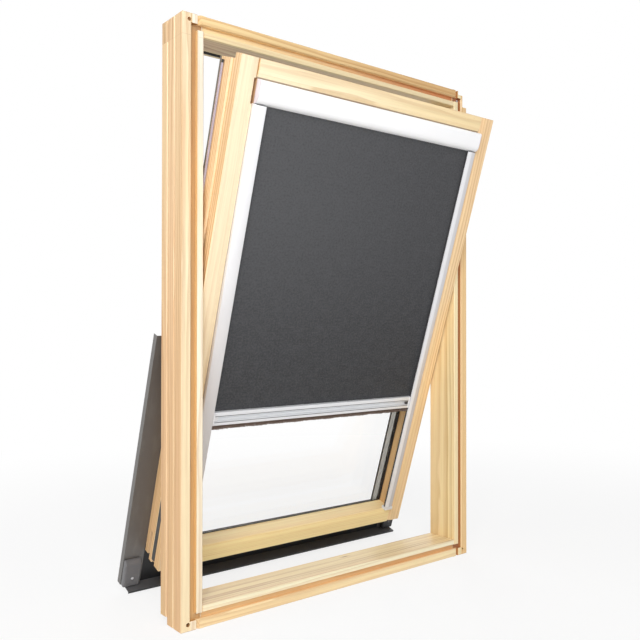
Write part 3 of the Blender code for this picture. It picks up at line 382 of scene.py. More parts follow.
@dataclass(frozen=True)
class Pine(Finish):
    """Planed pine under a clear satin lacquer.

    The rings are cylinders about a pith line beside the member, bent by slow noise, so that a face cut
    through them shows straight lines or arches as on a sawn board. The room face is painted paler, as
    painted light, and the flanks darker, as painted shade; the end grain is darker in its own right; and
    the tone changes from the foot of the board to its other end, as a painted fall of light.

    Attributes:
        grain: which way the fibres run.
        tilt: lean of the member, in radians.
        pith: where the pith line lies, as distance across the grain and depth.
        ring: width of a growth ring.
        wander: how far the rings are bent either way.
        early: the flanks' tone towards the board's other end, darker than the room face as painted shade.
        foot: that tone at its first end.
        late: tone of the late wood and the streaks.
        blush: reddish tone of the broad bands.
        olive: greenish tone of the broad bands.
        front: tone of the room face towards the other end, painted paler as painted light.
        front_foot: that tone at the first end.
        pore: tone of the pores.
        end_grain: tint of the end grain.
        knot: tone of a pin knot.
        knot_ring: tone of the ring about it.
        resin: tone of the streaks above a finger joint.
        glue: tone of the joint's line.
        pocket_shade: tone of the shaded pocket.
        seam_shade: tone of the shaded seam.
        span: where the tone changes from the first end's to the other's, along the grain, as a painted fall
            of light.
        contrast: strength of the late wood.
        calm: how much weaker it is on the room face.
        knots: whether there are pin knots.
        joint: where a finger joint lies along the grain, if there is one.
        pocket: where a shaded pocket starts and ends along the grain.
        pocket_across: where it starts and ends across the grain, either side.
        seam: where a shaded seam starts and ends across the grain.
        groove: the stained groove, if there is one.
    """

    grain: Grain = Grain.UPRIGHT
    tilt: float = 0.0
    pith: Pair = (0.05, 0.09)
    ring: float = 0.0062
    wander: float = 0.012
    early: Colour = (0.84, 0.62, 0.35)
    foot: Colour = (0.78, 0.52, 0.26)
    late: Colour = (0.60, 0.34, 0.13)
    blush: Colour = (0.82, 0.52, 0.29)
    olive: Colour = (0.66, 0.53, 0.27)
    front: Colour = (0.96, 0.86, 0.58)
    front_foot: Colour = (0.95, 0.80, 0.50)
    pore: Colour = (0.45, 0.27, 0.12)
    end_grain: Colour = (0.62, 0.40, 0.20)
    knot: Colour = (0.30, 0.15, 0.06)
    knot_ring: Colour = (0.62, 0.36, 0.15)
    resin: Colour = (0.42, 0.21, 0.07)
    glue: Colour = (0.40, 0.22, 0.10)
    pocket_shade: Colour = (0.36, 0.19, 0.08)
    seam_shade: Colour = (0.30, 0.21, 0.16)
    span: Pair = (0.10, 1.10)
    contrast: float = 1.0
    calm: float = 0.50
    knots: bool = False
    joint: float | None = None
    pocket: Pair | None = None
    pocket_across: Pair = (0.3010, 0.3063)
    seam: Pair | None = None
    groove: Groove | None = None
    slot = "pine"

    def paint(self, sheet: ShaderSheet) -> bpy.types.Material:
        """Draw the pine's nodes.

        Args:
            sheet: the empty material.

        Returns:
            The material.
        """
        x, y, z = sheet.split(sheet.place(self.tilt))
        side, back, up = sheet.split(sheet.place(self.tilt, "Normal"))
        upright = self.grain is Grain.UPRIGHT
        place = (x, y, z) if upright else (z, y, x)
        flank, end = (side, up) if upright else (up, side)
        # Mask of the room face, which is painted paler than the flanks as painted light.
        room = back.rise(-0.5, -0.85)
        late = self._late_wood(sheet, place) * (1.0 - room * self.calm)
        fibre = self._drawn_out(sheet, place, 620.0, 11.0, detail=4.0, rough=0.62)
        pores = self._drawn_out(sheet, place, 1500.0, 60.0)
        colour = self._figure(sheet, place, late, room)
        colour = sheet.mix(fibre.rise(0.35, 0.8) * 0.18, colour, self.late, "MULTIPLY")
        colour = sheet.mix(pores.rise(0.66, 0.80) * 0.30, colour, self.pore)
        colour = sheet.mix(end.size().rise(0.6, 0.9) * 0.55, colour, self.end_grain, "MULTIPLY")
        colour = self._marks(sheet, place, colour)
        if self.groove:
            colour = self._stain(sheet, place, colour, flank, room)
        rough = 0.36 + fibre * 0.16 - late * 0.08
        normal = sheet.relief(fibre * 0.7 + late * 0.3, 0.00016)
        return sheet.done(colour, rough, normal, Coat_Weight=0.12, Coat_Roughness=0.22, IOR=1.45)

    @staticmethod
    def _drawn_out(sheet: ShaderSheet, place: Place, fine: float, slow: float, shift: float = 0.0,
                   detail: float = 2.0, rough: float = 0.5) -> Field:
        """Read noise that is fine across the grain and slow along it.

        Args:
            sheet: the material.
            place: distance across the grain, depth and distance along the grain.
            fine: scale across the grain.
            slow: scale along the grain.
            shift: offset along the grain, so that two layers or members differ.
            detail: octaves.
            rough: weight of the finer octaves.

        Returns:
            The noise value.
        """
        across, y, along = place
        drawn = along * slow
        if shift:
            drawn = drawn + shift
        return sheet.noise(sheet.join(across * fine, y * fine, drawn), 1.0, detail, rough)

    def _late_wood(self, sheet: ShaderSheet, place: Place) -> Field:
        """Draw the growth rings.

        Args:
            sheet: the material.
            place: distance across the grain, depth and distance along the grain.

        Returns:
            Mask of the dark late wood.
        """
        across, y, along = place
        bend = self._drawn_out(sheet, place, 9.0, 1.5, self.pith[0] * 90.0, detail=3.0, rough=0.55)
        from_pith = ((across - self.pith[0]) ** 2.0 + (y - self.pith[1]) ** 2.0).root()
        rings = (from_pith + bend * (2 * self.wander)) / self.ring
        turn = rings.fraction()
        late = turn.rise(0.25, 0.90) * turn.rise(1.0, 0.93)
        width = sheet.noise(sheet.join(rings * 0.37, along * 0.8, self.pith[1] * 40.0), 1.0, 1.0)
        return late * width.rise(0.25, 0.70) * self.contrast

    def _figure(self, sheet: ShaderSheet, place: Place, late: Field, room: Field) -> Field:
        """Lay the rings, broad bands and streaks over the board's ground colour.

        Args:
            sheet: the material.
            place: distance across the grain, depth and distance along the grain.
            late: mask of the dark late wood.
            room: mask of the room face.

        Returns:
            The wood's colour.
        """
        # Painted fall of light: the tone moves from the foot's to the other end's along the grain.
        tall = place[2].rise(*self.span)
        quiet = 1.0 - room * 0.6
        broad = self._drawn_out(sheet, place, 48.0, 0.5, self.pith[0] * 30.0)
        board = self._drawn_out(sheet, place, 16.0, 0.9, 7.0)
        streak = self._drawn_out(sheet, place, 95.0, 1.7, detail=3.0)
        hair = self._drawn_out(sheet, place, 270.0, 0.8)
        # Painted shade on the flanks, painted light on the room face.
        flanks = sheet.mix(tall, self.foot, self.early)
        colour = sheet.mix(room, flanks, sheet.mix(tall, self.front_foot, self.front))
        colour = sheet.mix(broad.rise(0.52, 0.68) * quiet * 0.55, colour, self.blush)
        colour = sheet.mix(broad.rise(0.46, 0.32) * quiet * 0.55, colour, self.olive)
        colour = sheet.mix(late, colour, self.late)
        colour = sheet.mix(board.rise(0.46, 0.68) * quiet * 0.4, colour, self.blush)
        colour = sheet.mix(streak.rise(0.50, 0.74) * quiet * 0.42, colour, self.late)
        return sheet.mix(hair.rise(0.60, 0.70) * quiet * 0.45, colour, self.late)

    def _marks(self, sheet: ShaderSheet, place: Place, colour: Field) -> Field:
        """Add what only some members have: knots, a finger joint, a shaded pocket or a shaded seam.

        Args:
            sheet: the material.
            place: distance across the grain, depth and distance along the grain.
            colour: the wood's colour.

        Returns:
            The colour with the marks.
        """
        across, _, along = place
        if self.knots:
            colour = self._knots(sheet, place, colour)
        if self.joint is not None:
            colour = self._finger_joint(sheet, place, colour, self.joint)
        if self.pocket:
            cut = across.size().band(*self.pocket_across, 0.0002) * along.band(*self.pocket, 0.0004)
            colour = sheet.mix(cut * 0.85, colour, self.pocket_shade)
        if self.seam:
            colour = sheet.mix(across.band(*self.seam, 0.0006) * 0.80, colour, self.seam_shade)
        return colour

    def _knots(self, sheet: ShaderSheet, place: Place, colour: Field) -> Field:
        """Add a few small brown pin knots.

        Args:
            sheet: the material.
            place: distance across the grain, depth and distance along the grain.
            colour: the wood's colour.

        Returns:
            The colour with knots.
        """
        across, y, along = place
        spot = sheet.specks(sheet.join(across * 24.0, y * 24.0, along * 5.5 + self.pith[1] * 50.0), 1.0)
        colour = sheet.mix(spot.rise(0.12, 0.05) * 0.45, colour, self.knot_ring)
        return sheet.mix(spot.rise(0.06, 0.03) * 0.8, colour, self.knot)

    def _finger_joint(self, sheet: ShaderSheet, place: Place, colour: Field, height: float) -> Field:
        """Glue another board on above a height, with its own brown streaks towards the rear.

        Args:
            sheet: the material.
            place: distance across the grain, depth and distance along the grain.
            colour: the wood's colour.
            height: where the joint is.

        Returns:
            The colour with the joint.
        """
        _, y, along = place
        thin = 0.0003
        above = along.rise(height, height + thin)
        streak = sheet.noise(sheet.join(y * 210.0, 3.0, along * 5.0), 1.0, 2.0).rise(0.46, 0.62)
        colour = sheet.mix(above * streak * y.rise(-0.012, 0.012) * 0.7, colour, self.resin)
        return sheet.mix(along.band(height - thin, height + thin, thin) * 0.25, colour, self.glue)

    def _stain(self, sheet: ShaderSheet, place: Place, colour: Field, flank: Field, room: Field) -> Field:
        """Deepen the colour inside the lining groove: stain, with painted shade on its floor; tint the rim
        beyond it.

        Args:
            sheet: the material.
            place: distance across the grain, depth and distance along the grain.
            colour: the wood's colour.
            flank: how far the surface faces across the grain.
            room: mask of the room face.

        Returns:
            The colour with the stained groove.
        """
        cut, (across, y, along) = self.groove, place
        out, edge = across.size(), cut.edge
        length = along.rise(*cut.span)
        rim = sheet.mix(length, cut.rim, cut.rim_end)
        colour = sheet.mix(room * out.rise(*cut.beyond) * 0.8, colour, rim, "MULTIPLY")
        patches = self._drawn_out(sheet, place, 300.0, 9.0, detail=3.0)
        # The floor's colour: the stain, darkened as painted shade of the groove's floor.
        floor = sheet.mix(length, cut.start, cut.end)
        floor = sheet.mix(patches.rise(0.3, 0.8) * 0.45, floor, cut.patch, "MULTIPLY")
        tone = sheet.mix(flank.size().rise(0.4, 0.8), floor, cut.wall)
        inside = out.band(cut.low, cut.high, edge) * y.band(cut.face + 2 * edge, cut.floor + edge, edge)
        colour = sheet.mix(inside * 0.92, colour, tone)
        ragged = sheet.noise(sheet.join(0.0, 0.0, along * 38.0), 1.0, 3.0) * 0.006 - 0.001
        spill = (out - ragged).rise(cut.high + edge, cut.high) * out.rise(cut.high - edge, cut.high)
        return sheet.mix(spill * room * along.rise(*cut.bleed) * 0.75, colour, cut.spill)


@dataclass(frozen=True)
class Lacquer(Finish):
    """Satin powder coat on an aluminium extrusion or sheet, with its fine orange peel and die lines.

    Attributes:
        colour: the coat.
        tint: its slightly greyer tone in die lines and clouds.
        rough: roughness.
        level: whether the die lines run across the window, or up it.
        foot: tone at the lower end of a piece, painted darker downwards as painted shade.
        span: heights between which that painted shade deepens.
        flank: painted shade on the part outside a bend, which faces away from the lamps.
        bend: where that part starts, across the window.
    """

    colour: Colour = (0.90, 0.90, 0.92)
    tint: Colour = (0.80, 0.79, 0.81)
    rough: float = 0.30
    level: bool = True
    foot: Colour | None = None
    span: Pair = (0.30, 0.62)
    flank: Colour | None = None
    bend: float = 0.0
    slot = "white_metal"

    def paint(self, sheet: ShaderSheet) -> bpy.types.Material:
        """Draw the coat's nodes.

        Args:
            sheet: the empty material.

        Returns:
            The material.
        """
        point = sheet.place()
        x, _, z = sheet.split(point)
        scales = (3.0, 900.0, 900.0) if self.level else (900.0, 900.0, 3.0)
        lines = sheet.noise(sheet.stretch(point, scales), 1.0, 2.0, 0.5)
        peel = sheet.noise(point, 700.0, 2.0, 0.6)
        cloud = sheet.noise(point, 4.0, 3.0, 0.6)
        colour = sheet.mix(lines.rise(0.35, 0.75) * 0.08, self.colour, self.tint)
        colour = sheet.mix(cloud.rise(0.45, 0.8) * 0.06, colour, self.tint)
        # Painted shade: darker towards the foot, and on the part outside the bend.
        if self.foot:
            colour = sheet.mix(z.rise(*self.span), self.foot, colour)
        if self.flank:
            outer = x.rise(self.bend - 0.0004, self.bend + 0.0004)
            colour = sheet.mix(outer * (1.0 - z.rise(*self.span) * 0.45), colour, self.flank)
        rough = self.rough + peel * 0.06 + cloud * 0.05 - 0.05
        normal = sheet.relief(peel * 0.6 + lines * 0.4, 0.00002)
        return sheet.done(colour, rough, normal, Coat_Weight=0.25, Coat_Roughness=0.12)


@dataclass(frozen=True)
class DarkSheet(Finish):
    """Dark grey paint on the folded outer covers, with faint upright streaks and dust on it.

    A paler ledge tone, where one is given, covers what faces up, as painted light from above.
    """

    colour: Colour = (0.140, 0.133, 0.127)
    pale: Colour = (0.22, 0.215, 0.205)
    painted_lit_ledge: Colour | None = None
    slot = "dark_metal"

    def paint(self, sheet: ShaderSheet) -> bpy.types.Material:
        """Draw the paint's nodes.

        Args:
            sheet: the empty material.

        Returns:
            The material.
        """
        point = sheet.place()
        streak = sheet.noise(sheet.stretch(point, (60.0, 60.0, 1.6)), 1.0, 3.0, 0.6)
        cloud = sheet.noise(point, 7.0, 4.0, 0.6)
        grit = sheet.noise(point, 1400.0, 2.0, 0.5)
        colour = sheet.mix(streak.rise(0.45, 0.78) * 0.35, self.colour, self.pale)
        colour = sheet.mix(cloud.rise(0.5, 0.8) * 0.2, colour, self.pale)
        # What faces up is painted paler: painted light from above.
        if self.painted_lit_ledge:
            _, _, up = sheet.split(sheet.place(kind="Normal"))
            colour = sheet.mix(up.rise(0.4, 0.8), colour, self.painted_lit_ledge)
        rough = 0.36 + cloud * 0.14 + streak * 0.06
        normal = sheet.relief(grit, 0.00002)
        return sheet.done(colour, rough, normal, Metallic=0.35, Coat_Weight=0.15, Coat_Roughness=0.3)


@dataclass(frozen=True)
class Rubber(Finish):
    """Extruded rubber, matt, with a bloom of dust."""

    colour: Colour = (0.018, 0.018, 0.019)
    dusty: Colour = (0.07, 0.068, 0.066)
    rough: float = 0.62
    slot = "black_rubber"

    def paint(self, sheet: ShaderSheet) -> bpy.types.Material:
        """Draw the rubber's nodes.

        Args:
            sheet: the empty material.

        Returns:
            The material.
        """
        point = sheet.place()
        colour, rough = self._bloom(sheet, point)
        grit = sheet.noise(point, 1800.0, 2.0, 0.5)
        return sheet.done(colour, rough, sheet.relief(grit, 0.00003))

    def _bloom(self, sheet: ShaderSheet, point: Field) -> tuple[Field, Field]:
        """Dust the rubber in patches.

        Args:
            sheet: the material.
            point: the coordinates.

        Returns:
            Colour and roughness.
        """
        dust = sheet.noise(point, 30.0, 4.0, 0.65)
        colour = sheet.mix(dust.rise(0.45, 0.8) * 0.5, self.colour, self.dusty)
        return colour, self.rough + dust * 0.2


@dataclass(frozen=True)
class SoftSeal(Rubber):
    """Pale soft rubber of the hollow tube seals, painted near black above a height as painted shade of the
    bore.

    Attributes:
        bore: colour of that painted shade.
        mouth: height from which the painted shade covers the seal, in the seal's own axes.
    """

    colour: Colour = (0.40, 0.33, 0.38)
    dusty: Colour = (0.56, 0.50, 0.56)
    rough: float = 0.45
    bore: Colour = (0.012, 0.012, 0.012)
    mouth: float = 0.0

    def paint(self, sheet: ShaderSheet) -> bpy.types.Material:
        """Draw the rubber's nodes.

        Args:
            sheet: the empty material.

        Returns:
            The material.
        """
        point = sheet.place()
        _, _, height = sheet.split(point)
        colour, rough = self._bloom(sheet, point)
        # Painted shade of the bore over the seal's top.
        colour = sheet.mix(height.rise(self.mouth - 0.0003, self.mouth), colour, self.bore)
        return sheet.done(colour, rough)


@dataclass(frozen=True)
class Plastic(Finish):
    """Moulded plastic with a fine spark-eroded grain."""

    colour: Colour = (0.80, 0.80, 0.81)
    worn: Colour = (0.66, 0.66, 0.68)
    rough: float = 0.42
    ior: float = 1.49
    slot = "white_plastic"

    def paint(self, sheet: ShaderSheet) -> bpy.types.Material:
        """Draw the plastic's nodes.

        Args:
            sheet: the empty material.

        Returns:
            The material.
        """
        point = sheet.place()
        spark = sheet.noise(point, 1600.0, 2.0, 0.6)
        normal = sheet.relief(spark, 0.00003)
        return sheet.done(self._moulded(sheet, point), self.rough + spark * 0.12, normal, IOR=self.ior)

    def _moulded(self, sheet: ShaderSheet, point: Field) -> Field:
        """Colour of the plastic, with its faintly worn patches."""
        cloud = sheet.noise(point, 22.0, 4.0, 0.6)
        return sheet.mix(cloud.rise(0.42, 0.78) * 0.45, self.colour, self.worn)


@dataclass(frozen=True)
class CapSide(Plastic):
    """The cassette's end cap: pale where it stands out of the wood; rough in its pocket, and painted brown
    there as painted shade tinted by light reflected from the pine.

    Attributes:
        cap_shade_brown: brown painted shade of the part in the pocket, tinted by reflection of the pine.
        cap_shade_brown_dark: its darker patches.
        edge: depth at which that part begins, in the cap's own axes.
    """

    colour: Colour = (0.78, 0.70, 0.75)
    worn: Colour = (0.70, 0.64, 0.69)
    cap_shade_brown: Colour = (0.62, 0.38, 0.20)
    cap_shade_brown_dark: Colour = (0.58, 0.36, 0.20)
    edge: float = 0.0

    def paint(self, sheet: ShaderSheet) -> bpy.types.Material:
        """Draw the plastic's nodes and the liner.

        Args:
            sheet: the empty material.

        Returns:
            The material.
        """
        point = sheet.place()
        _, depth, _ = sheet.split(point)
        pile = sheet.noise(point, 900.0, 2.0, 0.6)
        # The part in the pocket is painted brown: painted shade, tinted by reflected pine.
        cap_shade_brown = sheet.mix(pile.rise(0.3, 0.7) * 0.4, self.cap_shade_brown, self.cap_shade_brown_dark)
        behind = depth.rise(self.edge, self.edge + 0.0006)
        colour = sheet.mix(behind, self._moulded(sheet, point), cap_shade_brown)
        return sheet.done(colour, self.rough + behind * 0.3, sheet.relief(pile, 0.00004), IOR=self.ior)


@dataclass(frozen=True)
class GreyPlastic(Plastic):
    """The same moulded plastic in dark grey."""

    colour: Colour = (0.130, 0.128, 0.133)
    worn: Colour = (0.21, 0.208, 0.215)
    slot = "grey_plastic"


@dataclass(frozen=True)
class BareMetal(Finish):
    """Bare or anodised metal, brushed along one direction."""

    colour: Colour = (0.72, 0.73, 0.75)
    dull: Colour = (0.55, 0.56, 0.58)
    rough: float = 0.28
    along: Triple = (4.0, 700.0, 700.0)
    metallic: float = 0.92
    slot = "silver"

    def paint(self, sheet: ShaderSheet) -> bpy.types.Material:
        """Draw the metal's nodes.

        Args:
            sheet: the empty material.

        Returns:
            The material.
        """
        point = sheet.place()
        brushed, colour = self._brushed(sheet, point)
        rough = self.rough + brushed * 0.12 + sheet.noise(point, 35.0, 3.0, 0.6) * 0.08
        return sheet.done(colour, rough, sheet.relief(brushed, 0.00002), Metallic=self.metallic)

    def _brushed(self, sheet: ShaderSheet, point: Field) -> tuple[Field, Field]:
        """Height of the brush marks, and the metal's colour with them."""
        brushed = sheet.noise(sheet.stretch(point, self.along), 1.0, 3.0, 0.6)
        return brushed, sheet.mix(brushed.rise(0.3, 0.8) * 0.6, self.colour, self.dull)


@dataclass(frozen=True)
class GripMetal(BareMetal):
    """Anodised bar, with painted shade on the finger hollow's upper part and on the two fine lines.

    The hollow and the lines are given as heights in the bar's own axes.
    """

    hollow: Pair = (0.0, 0.0)
    upper: Pair = (0.0, 0.0)
    lower: Pair = (0.0, 0.0)
    shade: Colour = (0.58, 0.62, 0.66)
    dark: Colour = (0.26, 0.26, 0.28)

    def paint(self, sheet: ShaderSheet) -> bpy.types.Material:
        """Draw the metal's nodes, with height bands for the shaded parts.

        Args:
            sheet: the empty material.

        Returns:
            The material.
        """
        point = sheet.place()
        _, _, height = sheet.split(point)
        brushed, colour = self._brushed(sheet, point)
        low, high = self.hollow
        tall = high - low
        # Painted shade over the hollow's upper part, and on the fine lines below.
        shaded = height.rise(low + tall * 0.35, low + tall * 0.75) * height.rise(high + 0.0003, high)
        colour = sheet.mix(shaded * 0.75, colour, self.shade)
        for line in (self.upper, self.lower):
            colour = sheet.mix(height.band(*line, 0.0002) * 0.8, colour, self.dark)
        normal = sheet.relief(brushed, 0.00002)
        return sheet.done(colour, self.rough + brushed * 0.12, normal, Metallic=self.metallic)


@dataclass(frozen=True)
class Zinc(BareMetal):
    """Zinc plated steel, with its patchy crystals."""

    colour: Colour = (0.66, 0.66, 0.68)
    dull: Colour = (0.45, 0.45, 0.47)
    rough: float = 0.30
    along: Triple = (500.0, 500.0, 500.0)
    slot = "steel"


@dataclass(frozen=True)
class Blackout(Finish):
    """Coated blackout cloth: a plain weave of fine yarns with slubs, under a matt coat.

    It is painted paler towards the cassette, over a span of heights, and darker towards the right: a
    painted fall of light.

    Attributes:
        colour: the cloth near the bar.
        painted_lit_top: the cloth near the cassette, painted paler as painted light.
        far: tint towards the right, as painted shade.
        lighter: tone of slubs and pale patches.
        darker: tone of dark patches.
        gap: tone between the yarns.
        span: heights between which the painted light comes in.
        width: places across between which the painted shade deepens.
        pitch: length of one repeat of the weave.
    """

    colour: Colour = (0.037, 0.038, 0.041)
    painted_lit_top: Colour = (0.086, 0.087, 0.092)
    far: Colour = (0.66, 0.66, 0.67)
    lighter: Colour = (0.104, 0.105, 0.111)
    darker: Colour = (0.040, 0.041, 0.044)
    gap: Colour = (0.045, 0.047, 0.050)
    span: Pair = (0.36, 0.85)
    width: Pair = (-0.25, 0.32)
    pitch: float = 0.0009
    slot = "fabric"

    def paint(self, sheet: ShaderSheet) -> bpy.types.Material:
        """Draw the cloth's nodes, on a flat map that is laid out in metres.

        Args:
            sheet: the empty material.

        Returns:
            The material.
        """
        flat = sheet.node("ShaderNodeUVMap", {"uv_map": "flat"})
        across, down, _ = sheet.split(flat)
        beat = 2 * math.pi / self.pitch
        weave = (across * beat).sine() * (down * beat).sine()
        warp = sheet.noise(sheet.join(across * 900.0, down * 22.0, 0.0), 1.0, 2.0, 0.6)
        weft = sheet.noise(sheet.join(across * 22.0, down * 900.0, 4.0), 1.0, 2.0, 0.6)
        slub = (warp + weft) * 0.5
        cloth = sheet.join(across, down, 0.0)
        cloud = sheet.noise(cloth, 45.0, 4.0, 0.6)
        mottle = sheet.noise(cloth, 230.0, 4.0, 0.75)
        # Painted light towards the cassette, painted shade towards the right.
        colour = sheet.mix(down.rise(*self.span), self.colour, self.painted_lit_top)
        colour = sheet.mix(across.rise(*self.width), colour, self.far, "MULTIPLY")
        colour = sheet.mix(slub.rise(0.44, 0.64) * 0.22, colour, self.lighter)
        colour = sheet.mix(mottle.rise(0.40, 0.66) * 0.45, colour, self.lighter)
        colour = sheet.mix(mottle.rise(0.52, 0.34) * 0.40, colour, self.darker)
        colour = sheet.mix(cloud.rise(0.4, 0.75) * 0.20, colour, self.lighter)
        colour = sheet.mix((weave * 0.5 + 0.5) * 0.12, colour, self.gap)
        normal = sheet.relief(weave * 0.35 + slub, 0.00009)
        return sheet.done(colour, 0.60 + slub * 0.12, normal, Sheen_Weight=0.12, Sheen_Roughness=0.4,
                          Specular_IOR_Level=0.2)


@dataclass(frozen=True)
class Pile(Finish):
    """Fibres of a brush or pile seal, uneven from strand to strand."""

    colour: Colour = (0.10, 0.060, 0.040)
    lighter: Colour = (0.26, 0.17, 0.12)
    slot = "brush"

    def paint(self, sheet: ShaderSheet) -> bpy.types.Material:
        """Draw the fibres' nodes.

        Args:
            sheet: the empty material.

        Returns:
            The material.
        """
        strand = sheet.noise(sheet.stretch(sheet.place(), (1100.0, 1100.0, 60.0)), 1.0, 2.0, 0.6)
        colour = sheet.mix(strand.rise(0.35, 0.7), self.colour, self.lighter)
        return sheet.done(colour, 0.75 + strand * 0.2, sheet.relief(strand, 0.00005), Sheen_Weight=0.2)


@dataclass(frozen=True)
class Glass(Finish):
    """Clear float glass with the faintest film of dust."""

    ior: float = 1.25
    slot = "glass"

    def paint(self, sheet: ShaderSheet) -> bpy.types.Material:
        """Draw the glass's nodes."""
        film = sheet.noise(sheet.place(), 9.0, 4.0, 0.6).rise(0.6, 0.95) * 0.004
        return sheet.done((1.0, 1.0, 1.0), film, None, Transmission_Weight=1.0, IOR=self.ior)


class SashSpace:
    """The tilted sash's own axes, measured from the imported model."""

    def __init__(self, packed: dict) -> None:
        """Find the axes and the origin.
        """
        joints = {joint["name"]: joint for joint in packed["joints"]}
        self.nodes = packed["nodes"]
        up = Vector(joints["blind_slide"]["axis"]).normalized()
        back = Vector((0.0, up.z, -up.y))
        self.tilt = math.atan2(-up.y, up.z)
        stile = [vertex.co for vertex in self.nodes["sash_stile_left"].data.vertices]
        origin = back * min(point.dot(back) for point in stile) + up * min(point.dot(up) for point in stile)
        turned = Matrix((Vector((1.0, 0.0, 0.0)), back, up)).transposed().to_4x4()
        self.matrix = Matrix.Translation(origin) @ turned

    def box(self, node: str) -> tuple[Vector, Vector]:
        """Corners of a CAD node in the sash's axes.

        Args:
            node: the node's name.

        Returns:
            Lowest and highest corner.
        """
        inverse = self.matrix.inverted()
        points = [inverse @ vertex.co for vertex in self.nodes[node].data.vertices]
        low = Vector(min(point[axis] for point in points) for axis in range(3))
        high = Vector(max(point[axis] for point in points) for axis in range(3))
        return low, high

    def point(self, x: float, t: float, u: float) -> Vector:
        """A point given in the sash's axes, in the row frame."""
        return self.matrix @ Vector((x, t, u))


class Shape:
    """A mesh drawn step by step and then made into one dressed piece.

    Attributes:
        blunt: a strand's width at its tip, as a share of that at its root.
        strand_sides: how many sides a strand has.
    """

    blunt = 0.6
    strand_sides = 3

    def __init__(self, name: str) -> None:
        """Start an empty mesh."""
        self.name = name
        self.builder = bmesh.new()

    @staticmethod
    def spot(axis: str, pair: Pair, along: float) -> Triple:
        """Put an outline pair and a distance along an axis together."""
        first, second = pair
        return {"X": (along, first, second), "Y": (first, along, second), "Z": (first, second, along)}[axis]

    def prism(self, outline: list[Pair], axis: str, low: float, high: float) -> "Shape":
        """Extrude a closed outline.

        Args:
            outline: its corners, as pairs in the two other axes.
            axis: the axis it runs along.
            low: where it starts.
            high: where it ends.

        Returns:
            This shape.
        """
        near = [self.builder.verts.new(self.spot(axis, pair, low)) for pair in outline]
        far = [self.builder.verts.new(self.spot(axis, pair, high)) for pair in outline]
        self.builder.faces.new(near)
        self.builder.faces.new(far[::-1])
        self._skin(far, near)
        return self

    def _skin(self, near: list, far: list) -> None:
        """Join two closed loops with a ring of faces.

        Args:
            near: corners of the first loop.
            far: as many corners of the second one.
        """
        for step, first in enumerate(near):
            after = (step + 1) % len(near)
            self.builder.faces.new((first, near[after], far[after], far[step]))

    def block(self, low: Triple, high: Triple) -> "Shape":
        """Add a rectangular block between two corners."""
        outline = [(low[1], low[2]), (high[1], low[2]), (high[1], high[2]), (low[1], high[2])]
        return self.prism(outline, "X", low[0], high[0])

    def pipe(self, outer: list[Pair], inner: list[Pair], low: float, high: float) -> "Shape":
        """Add an upright hollow tube, open at both ends.

        Args:
            outer: corners of its outer outline.
            inner: as many corners of its bore.
            low: where it starts.
            high: where it ends.

        Returns:
            This shape.
        """
        loops = [[self.builder.verts.new(self.spot("Z", pair, along)) for pair in outline]
                 for outline, along in ((outer, low), (outer, high), (inner, high), (inner, low))]
        for near, far in zip(loops, loops[1:] + loops[:1]):
            self._skin(near, far)
        return self

    def strand(self, root: Triple, wide: float, drop: float, lean: float, forward: float) -> "Shape":
        """Add one tapering three-sided strand that hangs down.

        Args:
            root: its upper end.
            wide: its width at the root.
            drop: its length.
            lean: how far its tip stands to the side.
            forward: how far its tip stands towards the room.

        Returns:
            This shape.
        """
        x, y, z = root
        half, aim = wide / 2, (x + lean) * (1 - self.blunt)
        new = self.builder.verts.new
        turns = [2 * math.pi * step / self.strand_sides for step in range(self.strand_sides)]
        top = [new((x + half * math.cos(turn), y + half * math.sin(turn), z)) for turn in turns]
        tip = [new((corner.co.x * self.blunt + aim, corner.co.y - forward, z - drop)) for corner in top]
        self.builder.faces.new(top)
        self.builder.faces.new(tip[::-1])
        self._skin(top, tip)
        return self

    def make(self, place: Matrix, finish: Finish, body: str | None, sharp: float = 32.0,
             bevel: float = 0.0, segments: int = 2) -> bpy.types.Object:
        """Turn the mesh into one dressed piece.

        Args:
            place: the axes that it was drawn in.
            finish: its finish.
            body: the CAD body that it rides on, or None if it rides on none.
            sharp: edges bent by more degrees than this stay sharp.
            bevel: width of the rounding on its sharp edges.
            segments: steps of that rounding.

        Returns:
            The piece.
        """
        bmesh.ops.recalc_face_normals(self.builder, faces=self.builder.faces)
        if bevel:
            limit = math.radians(sharp)
            edges = [edge for edge in self.builder.edges
                     if len(edge.link_faces) == 2 and edge.calc_face_angle(0.0) > limit]
            bmesh.ops.bevel(self.builder, geom=edges, offset=bevel, segments=segments, affect="EDGES",
                            profile=0.5, clamp_overlap=True)
        mesh = bpy.data.meshes.new(self.name)
        self.builder.to_mesh(mesh)
        self.builder.free()
        mesh.shade_smooth()
        mesh.set_sharp_from_angle(angle=math.radians(sharp))
        mesh.materials.append(finish.material())
        piece = bpy.data.objects.new(self.name, mesh)
        bpy.context.scene.collection.objects.link(piece)
        piece.matrix_world = place
        if body:
            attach(piece, body)
        return piece


def arc(centre: Pair, radius: float, start: float, end: float, steps: int) -> list[Pair]:
    """Points on an arc about a centre, between two angles in degrees, both ends included."""
    turns = [math.radians(start + (end - start) * step / steps) for step in range(steps + 1)]
    return [(centre[0] + radius * math.cos(turn), centre[1] + radius * math.sin(turn)) for turn in turns]


def both(*stems: str) -> list[str]:
    """Names of the left and the right node of each stem."""
    return [stem + "_" + label for stem in stems for label, _ in SIDES]


